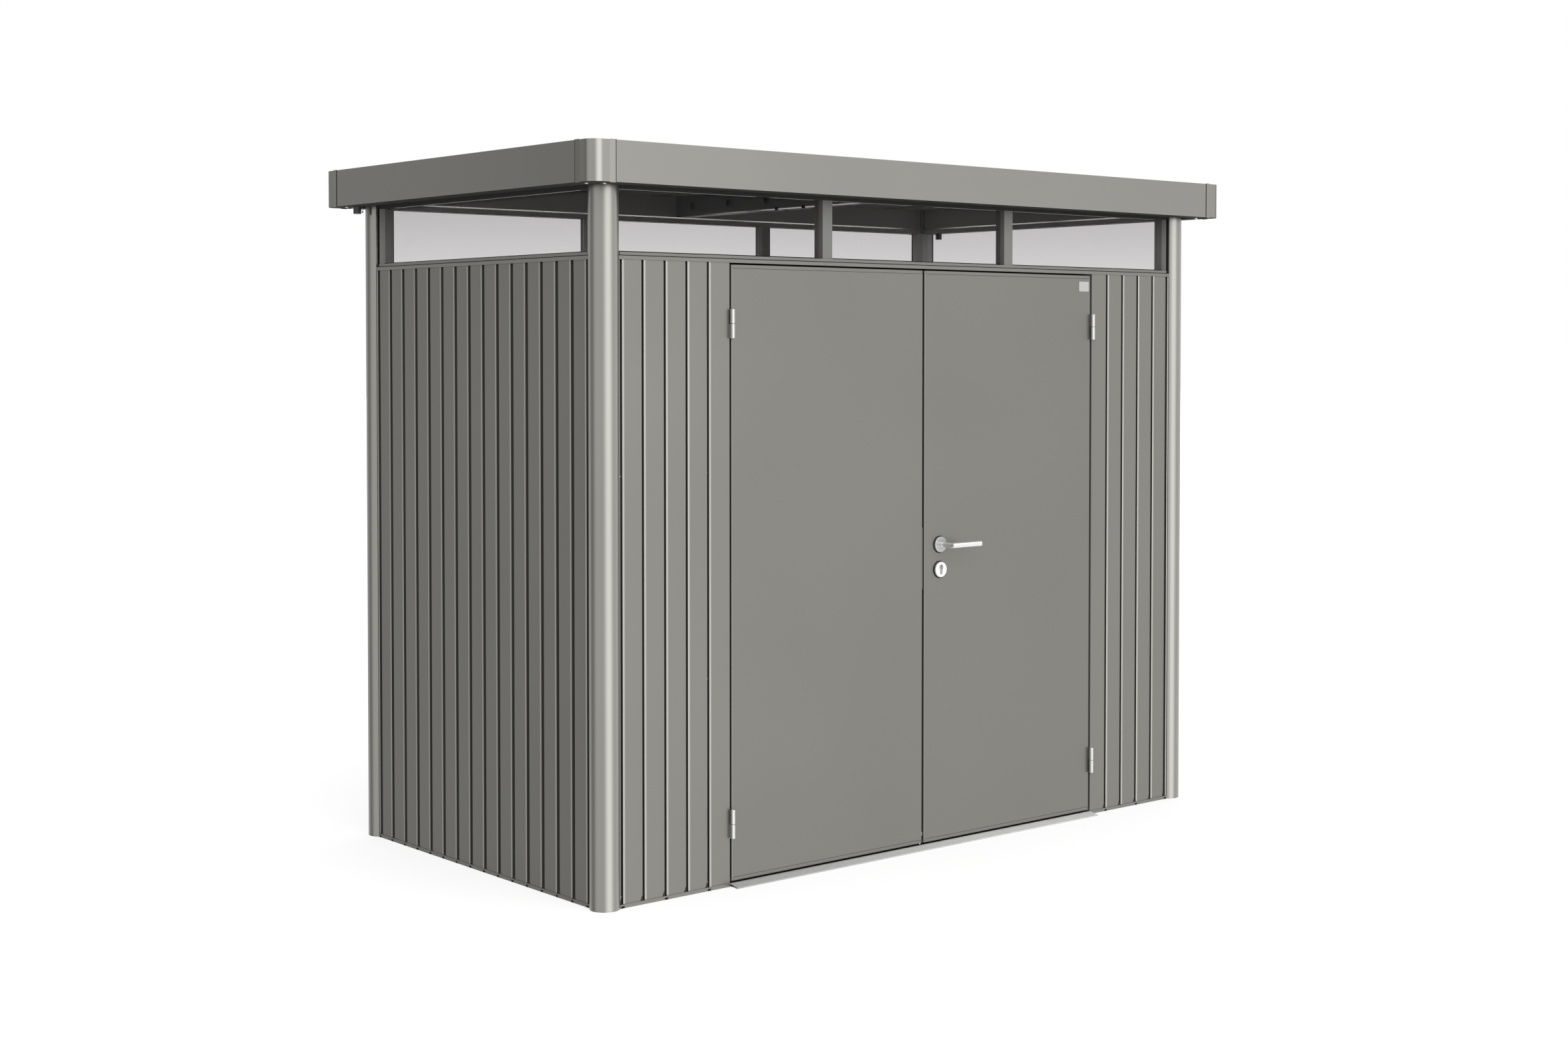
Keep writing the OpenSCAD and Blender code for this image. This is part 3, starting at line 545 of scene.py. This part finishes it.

# Flared rim of each cap, and a dark bead on the side that it overlaps, a painted shadow line beside the rim
cap_rim = ((0.0, 0.0), (0.020, 0.0), (0.0, 0.0010))
cap_gap, cap_over, cap_bead_w, cap_bead_h = 0.0004, 0.0012, 0.0026, 0.0012
low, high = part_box("roof_corner_caps")
joint_x, joint_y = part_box("fascia_front")[1].x + cap_gap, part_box("fascia_left")[1].y + cap_gap
cap_z, cap_tall = low.z - cap_over, (0, 0, high.z - low.z + 2 * cap_over)
rims, joint_shadows = bmesh.new(), bmesh.new()
for sx in (-1, 1):
    for sy in (-1, 1):
        prism(rims, [(sx * (joint_x + a), sy * (high.y + b), cap_z) for a, b in cap_rim], cap_tall)
        prism(rims, [(sx * (high.x + b), sy * (joint_y + a), cap_z) for a, b in cap_rim], cap_tall)
        bead(joint_shadows, (sx * joint_x, sy * high.y, cap_z), cap_tall,
             (sx * -cap_bead_w, 0, 0), (0, sy * cap_bead_h, 0))
        bead(joint_shadows, (sx * high.x, sy * joint_y, cap_z), cap_tall,
             (0, sy * -cap_bead_w, 0), (sx * cap_bead_h, 0, 0))
closed_piece(rims, "cap_rims", fascia_paint)
closed_piece(joint_shadows, "cap_joint_shadows", rubber_and_shade)

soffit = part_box("fascia_front")[0].z
cap_screws = ((1.342, 0.693), (1.302, 0.725))
screw_heads("cap_screws", [((sx * x, sy * y, soffit), (0, 0, -1)) for sx in (-1, 1) for sy in (-1, 1)
                           for x, y in cap_screws],
            radius=0.0055, height=0.003, material=screw_steel)

# Rainwater outlets: short ribbed spouts, moulded in dark plastic, under the soffit at both
# rear corners, each with a screw that hangs through the soffit beside it.

plastic = speckled("outlet_moulding", 500.0, 2.0, (0.070, 0.070, 0.070), (0.100, 0.100, 0.098),
                   rough=(0.22, 0.32))
dress("rainwater_outlets", plastic)


def circle(middle, radius, count, second=(0, 1, 0)):
    """Points of a circle, in the plane of X and a second direction."""
    angles = [math.tau * i / count for i in range(count)]
    return [Vector(middle) + radius * (Vector((math.cos(a), 0, 0)) + Vector(second) * math.sin(a))
            for a in angles]


spout_x, spout_y, spout_r = 1.334, 0.637, 0.0117
spout_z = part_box("rainwater_outlets")[0].z
rib_count, rib_w, rib_h, rib_out, rib_z = 12, 0.002, 0.022, 0.0013, 0.002
# Radius and rise of a moulded ring, and the heights of the rings on the spout
spout_ring = ((0.0118, 0.0), (0.0132, 0.0004), (0.0132, 0.0018), (0.0118, 0.0022))
ring_places, ring_sides = (0.0, 0.011), 32
shape = bmesh.new()
for side in (-1, 1):
    for k in range(rib_count):
        a = math.tau * k / rib_count
        out, across = Vector((math.cos(a), math.sin(a), 0)), Vector((-math.sin(a), math.cos(a), 0))
        start = Vector((side * spout_x, spout_y, spout_z + rib_z)) + out * spout_r - across * rib_w / 2
        bead(shape, start, (0, 0, rib_h), across * rib_w, out * rib_out)
    for z in ring_places:
        rings = [[shape.verts.new(point)
                  for point in circle((side * spout_x, spout_y, spout_z + z + rise), r, ring_sides)]
                 for r, rise in spout_ring]
        join_rings(shape, rings + rings[:1])
closed_piece(shape, "outlet_ribs", plastic)

hang_x, hang_y, hang, shank_r = 1.279, 0.700, 0.012, 0.0012
hanging = [(side * hang_x, hang_y, soffit - hang) for side in (-1, 1)]
screw_heads("outlet_screws", [(point, (0, 0, -1)) for point in hanging],
            radius=0.003, height=0.004, material=plastic)
shape = bmesh.new()
for point in hanging:
    prism(shape, circle(point, shank_r, 12), (0, 0, hang))
closed_piece(shape, "outlet_screw_shanks", screw_steel)

# Door jambs: box profiles behind the folded sheet edges at both sides of the doorway.
# Rubber strips behind the heads and the outer edges of the doors shut the gaps round them; they are also
# painted shade, dark in these gaps.

# Paler than the sheets' grey: painted light for the shade of the recesses where the jambs and leaf frames
# lie
lit_frame_paint = powder_coat("powder_frame_painted_light", (0.380, 0.376, 0.360), (0.430, 0.426, 0.408),
                          metallic=0.3, rough=0.36, edge=0.9)
folded("door_jambs", 0.0012, lit_frame_paint)
leaf_low, leaf_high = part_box("right_door_skin")
jamb_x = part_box("door_jambs")[1].x
strip_back, head_w, head_t, side_w, side_t, side_z = 0.0045, 0.030, 0.0033, 0.016, 0.003, 0.014
strip_y = leaf_high.y + strip_back
shape = bmesh.new()
bead(shape, (-jamb_x, strip_y, leaf_high.z - side_w), (2 * jamb_x, 0, 0), (0, 0, head_w), (0, -head_t, 0))
for side in (-1, 1):
    bead(shape, (side * jamb_x, strip_y, side_z), (0, 0, leaf_high.z - side_w - side_z),
         (side * -side_w, 0, 0), (0, side_t, 0))
closed_piece(shape, "door_frame_strips", rubber_and_shade)

# Hinges: two-part barrels of bare turned steel; the lower, fixed half carries the pin.
# The lower half has a plate on the jamb, the upper half one on the leaf's edge.

hinge_steel = bare_steel("hinge_steel", (0.44, 0.44, 0.43), (0.54, 0.54, 0.525),
                         rough=0.22, along=900.0, across=900.0)
for node, body in (("frame_hinges", "shed"), ("left_door_hinges", "left_door"),
                   ("right_door_hinges", "right_door")):
    folded(node, 0.0012, hinge_steel, least=0.0005, width=0.001, body=body)

# Door leaves: steel skins folded round a box frame, with closing strips at top and bottom.
# The long edges are bent to a soft radius and carry black rubber, as the lower edges do; this rubber is
# also painted shade in the gaps round the leaves.
# The left leaf has a shoot bolt at its foot, the right one a bare plate at its upper corner.

door_paint = powder_coat("powder_door", (0.242, 0.238, 0.219), (0.277, 0.273, 0.252),
                         metallic=0.5, rough=0.31)
for leaf in ("left_door", "right_door"):
    folded(leaf + "_skin", 0.0034, door_paint, least=0.5, width=0.002, body=leaf)
    folded(leaf + "_end_strips", 0.0005, door_paint, least=0.004, width=0.0008, body=leaf)
    dress(leaf + "_frame", lit_frame_paint)

face_y, leaf_foot, leaf_head = leaf_low.y, leaf_low.z, leaf_high.z
inner, outer = leaf_low.x, leaf_high.x


def joint_path(inset, z, reach, radius, turn):
    """Line round three sides of a closing strip from one end of its foot to the other."""
    path = [(inner + inset, z)]
    for x, start in ((inner + inset + radius, 180), (outer - inset - radius, 90)):
        for k in range(6):
            a = math.radians(start - 18 * k)
            path.append((x + radius * math.cos(a), z + turn * (reach - radius + radius * math.sin(a))))
    return path + [(outer - inset, z)]


# Heights at which the strike plate and the hinges break the rubber of an edge
strike_span, hinge_spans = (0.846, 1.050), ((0.146, 0.238), (1.659, 1.751))
edge_y, edge_w, edge_end, inner_out, outer_out = 0.0036, 0.0032, 0.006, -0.0034, 0.0011
foot_y, foot_w, foot_drop = 0.0016, 0.006, 0.0036
strip_inset, strip_reach, strip_r, strip_gap = 0.004, 0.011, 0.005, 0.001
strip_sink, strip_t = 0.0003, 0.0006
# Edge and foot beads: black rubber that is also painted shade in the gaps
for leaf, side in (("left_door", -1), ("right_door", 1)):
    shape = bmesh.new()
    for x, out, breaks in ((inner, inner_out, (strike_span,) if leaf == "left_door" else ()),
                           (outer, outer_out, hinge_spans)):
        limits = [leaf_foot + edge_end] + [z for span in breaks for z in span] + [leaf_head - edge_end]
        for z0, z1 in zip(limits[::2], limits[1::2]):
            bead(shape, (side * x, face_y + edge_y, z0), (0, 0, z1 - z0),
                 (0, edge_w, 0), (side * out, 0, 0))
    bead(shape, (side * (inner + strip_inset), face_y + foot_y, leaf_foot),
         (side * (outer - inner - 2 * strip_inset), 0, 0), (0, foot_w, 0), (0, 0, -foot_drop))
    for z, turn in ((leaf_foot, 1), (leaf_head, -1)):
        outside = joint_path(strip_inset, z, strip_reach, strip_r, turn)
        inside = joint_path(strip_inset + strip_gap, z, strip_reach - strip_gap, strip_r - strip_gap, turn)
        joint = [(side * x, face_y + strip_sink, h) for x, h in outside + inside[::-1]]
        prism(shape, joint, (0, strip_t, 0))
    closed_piece(shape, leaf + "_rubber", rubber_and_shade, leaf)

bolt_steel = bare_steel("bolt_steel", (0.52, 0.52, 0.51), (0.62, 0.62, 0.60),
                        rough=0.3, along=2500.0, across=60.0)
bolt_x, bolt_y = -0.0114, -0.6665
# Radius and drop of the bolt's foot, and the outline of its guide on the leaf's inner edge
bolt_foot = ((0.005, 0.0), (0.005, 0.0032), (0.0042, 0.004))
guide = ((0.0, 0.040), (0.004, 0.040), (0.005, 0.041), (0.005, 0.051), (0.004, 0.052), (0.0, 0.052))
guide_y, guide_t = -0.6712, 0.0014
shape = bmesh.new()
rings = [[shape.verts.new(point) for point in circle((bolt_x, bolt_y, leaf_foot - drop), r, 20)]
         for r, drop in bolt_foot]
join_rings(shape, rings)
shape.faces.new(rings[-1])
prism(shape, [(-inner, guide_y + y, z) for y, z in guide], (guide_t, 0, 0))
closed_piece(shape, "shoot_bolt", bolt_steel, "left_door")

plate_metal = bare_steel("plate_metal", (0.50, 0.50, 0.49), (0.60, 0.60, 0.585),
                         rough=0.45, along=40.0, across=2500.0, metallic=0.6)
# Middles of the plate's round corners
plate_left, plate_right, plate_low, plate_high = 0.744, 0.787, 1.8307, 1.8587
plate_r, plate_t = 0.003, 0.0009
outline = []
for x, z, start in ((plate_right, plate_high, 0), (plate_left, plate_high, 90),
                    (plate_left, plate_low, 180), (plate_right, plate_low, 270)):
    for k in range(5):
        a = math.radians(start + 22.5 * k)
        outline.append((x + plate_r * math.cos(a), face_y, z + plate_r * math.sin(a)))
shape = bmesh.new()
prism(shape, outline, (0, -plate_t, 0))
closed_piece(shape, "bare_plate", plate_metal, "right_door")

# Lock: steel roses, profile cylinder with keyhole, lever handle, strike and forend plates.
# Brushed stainless steel; the lever turns in its rose, the key rose is blasted white and its
# plug is grey. The strike and forend plates are darkened as painted shade in the gap between the leaves. A
# black rubber ring lies under each rose and also stands as painted shade round it.

lock_steel = bare_steel("lock_steel", (0.46, 0.46, 0.45), (0.56, 0.56, 0.55),
                        rough=0.3, along=500.0, across=500.0, metallic=0.8)
key_steel = bare_steel("key_steel", (0.95, 0.95, 0.945), (0.98, 0.98, 0.975),
                       rough=0.36, along=700.0, across=700.0)
lock_x, lever_z, key_rose_z = 0.073, 0.989, 0.907
between_roses = (lever_z + key_rose_z) / 2
roses = folded("lock_roses", 0.0012, lock_steel,
               least=0.0005, width=0.001, body="right_door")
refinish(roses, key_steel, lambda face: face.center.z < between_roses and abs(face.normal.y) > 0.9)
dress("key_cylinder", bare_steel("cylinder_steel", (0.40, 0.40, 0.395), (0.50, 0.50, 0.49),
                                 rough=0.4, along=700.0, across=700.0, metallic=0.4))
dress("lever", bare_steel("lever_steel", (0.86, 0.86, 0.85), (0.94, 0.94, 0.93),
                          rough=0.24, along=60.0, across=2600.0, metallic=0.7))
# Strike and forend plates: steel darkened as painted shade in the gap between the leaves
strike_steel_painted_shade = bare_steel("strike_steel_painted_shade", (0.20, 0.20, 0.197), (0.28, 0.28, 0.275),
                        rough=0.4, along=700.0, across=700.0, metallic=0.4)
dress("strike_plate", strike_steel_painted_shade)
dress("lock_forend", strike_steel_painted_shade)

# Black rubber rings under the roses, which are also painted shade round them
rose_ring_r, rose_ring_t = 0.0282, 0.0018
shape = bmesh.new()
for z in (lever_z, key_rose_z):
    prism(shape, circle((lock_x, face_y, z), rose_ring_r, 40, second=up), (0, -rose_ring_t, 0))
closed_piece(shape, "rose_gaskets_and_shade", rubber_and_shade, "right_door")

void = speckled("keyhole_void", 800.0, 2.0, (0.004, 0.004, 0.004), (0.020, 0.019, 0.018), rough=(0.7, 0.9))
plug_z, plug_r, fin_r, fin_drop = 0.9145, 0.0085, 0.005, 0.0185
key_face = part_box("key_cylinder")[0].y
proud, sunk = key_face - 0.0001, key_face + 0.0004


def key_profile(grow):
    """Outline of the cylinder: round plug above, straight fin with a round foot below."""
    plug, fin = plug_r + grow, fin_r + grow
    meet = math.asin(fin / plug)
    head = [meet + (math.tau - 2 * meet) * k / 24 for k in range(25)]
    foot = [math.pi * k / 12 for k in range(13)]
    return ([(plug * math.sin(a), plug * -math.cos(a)) for a in head]
            + [(fin * -math.cos(a), -fin_drop - fin * math.sin(a)) for a in foot])


shape = bmesh.new()
outside, inside = key_profile(0.0004), key_profile(-0.0005)
rings = [[shape.verts.new((lock_x + x, y, plug_z + z)) for x, z in profile]
         for profile, y in ((outside, proud), (outside, sunk), (inside, sunk), (inside, proud))]
join_rings(shape, rings + rings[:1])
keyhole = ((-0.0017, 0.0062), (0.0003, 0.0062), (0.0007, 0.0020), (0.0017, -0.0010), (0.0022, -0.0050),
           (0.0006, -0.0052), (-0.0006, -0.0010), (-0.0011, 0.0025))
prism(shape, [(lock_x + x, proud, plug_z + z) for x, z in keyhole], (0, sunk - proud, 0))
closed_piece(shape, "key_joint", void, "right_door")

# Threshold ramps: two zinc-coated plates that lean on the base rail in front of the doors.
# Bare zinc with a fine grain, lighter toward the right; the front edge is folded under, and a black piece
# in each outer end is painted shade in the hollow of the fold.

zinc, tree, shader = new_finish("zinc_plate")
place = add(tree, "ShaderNodeTexCoord").outputs["Object"]
crystal = add(tree, "ShaderNodeTexVoronoi", {"Vector": place, "Scale": 160.0})
grain = add(tree, "ShaderNodeTexNoise", {"Vector": place, "Scale": 900.0, "Detail": 2.0}).outputs["Fac"]
cell = add(tree, "ShaderNodeSeparateColor", {0: crystal.outputs["Color"]}).outputs[0]
fleck = add(tree, "ShaderNodeMath", {0: cell, 1: grain}, operation="MULTIPLY").outputs[0]
along = add(tree, "ShaderNodeSeparateXYZ", {0: place}).outputs["X"]
# The zinc grows lighter toward the right
lighter_right = add(tree, "ShaderNodeMapRange", {0: along, 1: -0.8, 2: 0.3, 3: 0.0, 4: 0.8}).outputs[0]
mask = add(tree, "ShaderNodeMath", {0: fleck, 1: 0.35, 2: lighter_right}, operation="MULTIPLY_ADD").outputs[0]
tree.links.new(tint(tree, mask, (0.60, 0.60, 0.60), (0.97, 0.97, 0.97)), shader.inputs["Base Color"])
tree.links.new(spread(tree, cell, 0.42, 0.55), shader.inputs["Roughness"])
shader.inputs["Metallic"].default_value = 0.15
folded("threshold_ramps", 0.0006, zinc, width=0.0012)

# Black pieces in the open ends of the fold: painted shade in its hollow
ramp_end_shade = ((-0.699, 0.0018), (-0.677, 0.0018), (-0.677, 0.0095))
end_shade_sink, end_shade_depth = 0.0002, 0.004
ramp_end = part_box("threshold_ramps")[1].x - end_shade_sink
shape = bmesh.new()
for side in (-1, 1):
    prism(shape, [(side * ramp_end, y, z) for y, z in ramp_end_shade], (side * -end_shade_depth, 0, 0))
closed_piece(shape, "ramp_end_shades", rubber_and_shade)

# Studio: pale floor, white surround and one large softbox in front, higher than the roof.
# In polished and painted faces the surround shows as a tall softbox in front, a bright ceiling
# and a grey panel at the rear left, which keeps the left wall darker than the front.

floor_z, floor_steps = -0.0005, (3.5, 7, 15, 30, 60)


def floor_lines(half):
    """Lines of the floor's grid along one axis; half is the edge of the field inside the shed."""
    return [-step for step in reversed(floor_steps)] + [-half, half] + list(floor_steps)


inside_x, inside_y = 1.25, 0.645
lines_x, lines_y = floor_lines(inside_x), floor_lines(inside_y)
field = len(floor_steps)
floor_mesh = bpy.data.meshes.new("studio_floor")
shape = bmesh.new()
grid = [[shape.verts.new((x, y, floor_z)) for x in lines_x] for y in lines_y]
for j in range(len(lines_y) - 1):
    for i in range(len(lines_x) - 1):
        face = shape.faces.new((grid[j][i], grid[j][i + 1], grid[j + 1][i + 1], grid[j + 1][i]))
        face.material_index = 1 if i == field and j == field else 0
shape.to_mesh(floor_mesh)
shape.free()
floor = bpy.data.objects.new("studio_floor", floor_mesh)
bpy.context.scene.collection.objects.link(floor)
floor.visible_glossy = False


def seen_rays(tree, path):
    """1 for what the camera sees itself, in a mirror or through glass, 0 for light on the object."""
    either = add(tree, "ShaderNodeMath", {0: path["Is Camera Ray"], 1: path["Is Glossy Ray"]},
                 operation="ADD")
    either = add(tree, "ShaderNodeMath", {0: either.outputs[0], 1: path["Is Transmission Ray"]},
                 operation="ADD", use_clamp=True)
    straight = add(tree, "ShaderNodeMath", {0: path["Diffuse Depth"], 1: 0.5}, operation="LESS_THAN")
    seen = add(tree, "ShaderNodeMath", {0: either.outputs[0], 1: straight.outputs[0]}, operation="MULTIPLY")
    return seen.outputs[0]


# The glow of the floor is lower in a pool round the shed, where its shadow stays visible
pool_from, pool_to, pool_glow = 1.5, 9.0, 0.70
pale, tree, shader = new_finish("pale_floor")
seen = seen_rays(tree, add(tree, "ShaderNodeLightPath").outputs)
place = add(tree, "ShaderNodeTexCoord").outputs["Object"]
away = add(tree, "ShaderNodeVectorMath", {0: place}, operation="LENGTH").outputs["Value"]
pool = add(tree, "ShaderNodeMapRange", {0: away, 1: pool_from, 2: pool_to, 3: pool_glow, 4: 1.0}).outputs[0]
glow = add(tree, "ShaderNodeMath", {0: seen, 1: pool}, operation="MULTIPLY")
shader.inputs["Base Color"].default_value = (0.5, 0.5, 0.5, 1.0)
shader.inputs["Roughness"].default_value = 1.0
shader.inputs["Specular IOR Level"].default_value = 0.0
shader.inputs["Emission Color"].default_value = (1.0, 1.0, 1.0, 1.0)
tree.links.new(glow.outputs[0], shader.inputs["Emission Strength"])
floor_mesh.materials.append(pale)
floor_mesh.materials.append(speckled("floor_in_shed", 6.0, 4.0, (0.64, 0.64, 0.63), (0.72, 0.72, 0.71),
                                     rough=(0.9, 0.9)))

world = bpy.data.worlds.new("studio")
bpy.context.scene.world = world
world.use_nodes = True
tree = world.node_tree
tree.nodes.clear()
path = add(tree, "ShaderNodeLightPath").outputs
seen = seen_rays(tree, path)
direction = add(tree, "ShaderNodeTexCoord").outputs["Generated"]
behind = add(tree, "ShaderNodeVectorMath", {0: direction, "Scale": -1.0}, operation="SCALE").outputs[0]
axes = add(tree, "ShaderNodeSeparateXYZ", {0: behind}).outputs
bearing = add(tree, "ShaderNodeMath", {0: axes["X"], 1: axes["Y"]}, operation="ARCTAN2").outputs[0]
turn = add(tree, "ShaderNodeMapRange", {0: bearing, 1: -math.pi, 2: math.pi}).outputs[0]
around = add(tree, "ShaderNodeValToRGB", {0: turn})
# Bearing in degrees from -Y toward -X, and the level of the mirrored surround there
panorama = ((-180, 0.86), (-120, 0.95), (-75, 1.2), (-50, 1.0), (-38, 1.05), (-28, 1.4), (-14, 2.3),
            (0, 2.45), (14, 2.3), (28, 1.4), (42, 0.9), (80, 1.0), (102, 0.95), (112, 0.6),
            (122, 0.36), (132, 0.32), (145, 0.41), (152, 0.70), (180, 0.86))
peak, ceiling, ambient = 2.5, 1.9, 0.65
stops = around.color_ramp.elements
stops.remove(stops[1])
for degrees, level in panorama:
    stop = stops[0] if degrees == -180 else stops.new(degrees / 360 + 0.5)
    stop.position = degrees / 360 + 0.5
    stop.color = (level / peak, level / peak, level / peak, 1.0)
walls = add(tree, "ShaderNodeMath", {0: around.outputs[0], 1: peak}, operation="MULTIPLY").outputs[0]
overhead = add(tree, "ShaderNodeMapRange", {0: axes["Z"], 1: -0.5, 2: -0.82}).outputs[0]
mirrored = add(tree, "ShaderNodeMix", {0: overhead, 2: walls, 3: ceiling}).outputs[0]
shown = add(tree, "ShaderNodeMix", {0: path["Is Glossy Ray"], 2: 1.0, 3: mirrored}).outputs[0]
strength = add(tree, "ShaderNodeMix", {0: seen, 2: ambient, 3: shown}).outputs[0]
surround = add(tree, "ShaderNodeBackground", {"Color": (1.0, 1.0, 1.0, 1.0), "Strength": strength})
add(tree, "ShaderNodeOutputWorld", {"Surface": surround.outputs[0]})
world.cycles.sampling_method = "NONE"

box_wide, box_tall, radiance = 7.2, 4.6, 1.6
lamp = bpy.data.lights.new("key_softbox", "AREA")
lamp.shape = "RECTANGLE"
lamp.size, lamp.size_y = box_wide, box_tall
lamp.energy = radiance * math.pi * box_wide * box_tall
softbox = bpy.data.objects.new("key_softbox", lamp)
softbox.location = (-1.6, -6.4, 4.2)
middle_of_shed = Vector((0, 0, 1.1))
softbox.rotation_euler = (middle_of_shed - softbox.location).to_track_quat("-Z", "Y").to_euler()
softbox.visible_glossy = False
bpy.context.scene.collection.objects.link(softbox)

# Camera: a 50 mm lens at a standing person's eye level, in front and to the left of the shed.
# It looks almost level, and its frame is shifted so that the uprights stay nearly parallel.

camera = bpy.data.cameras.new("camera")
camera.lens, camera.sensor_width, camera.shift_y = 50.28, 36.0, -0.0715
viewer = bpy.data.objects.new("camera", camera)
viewer.location = (-4.9206, -5.8254, 1.6305)
viewer.rotation_euler = (math.radians(88.352), 0.0, math.radians(-40.031))
bpy.context.scene.collection.objects.link(viewer)
bpy.context.scene.camera = viewer
bpy.context.scene.view_settings.view_transform = "Standard"
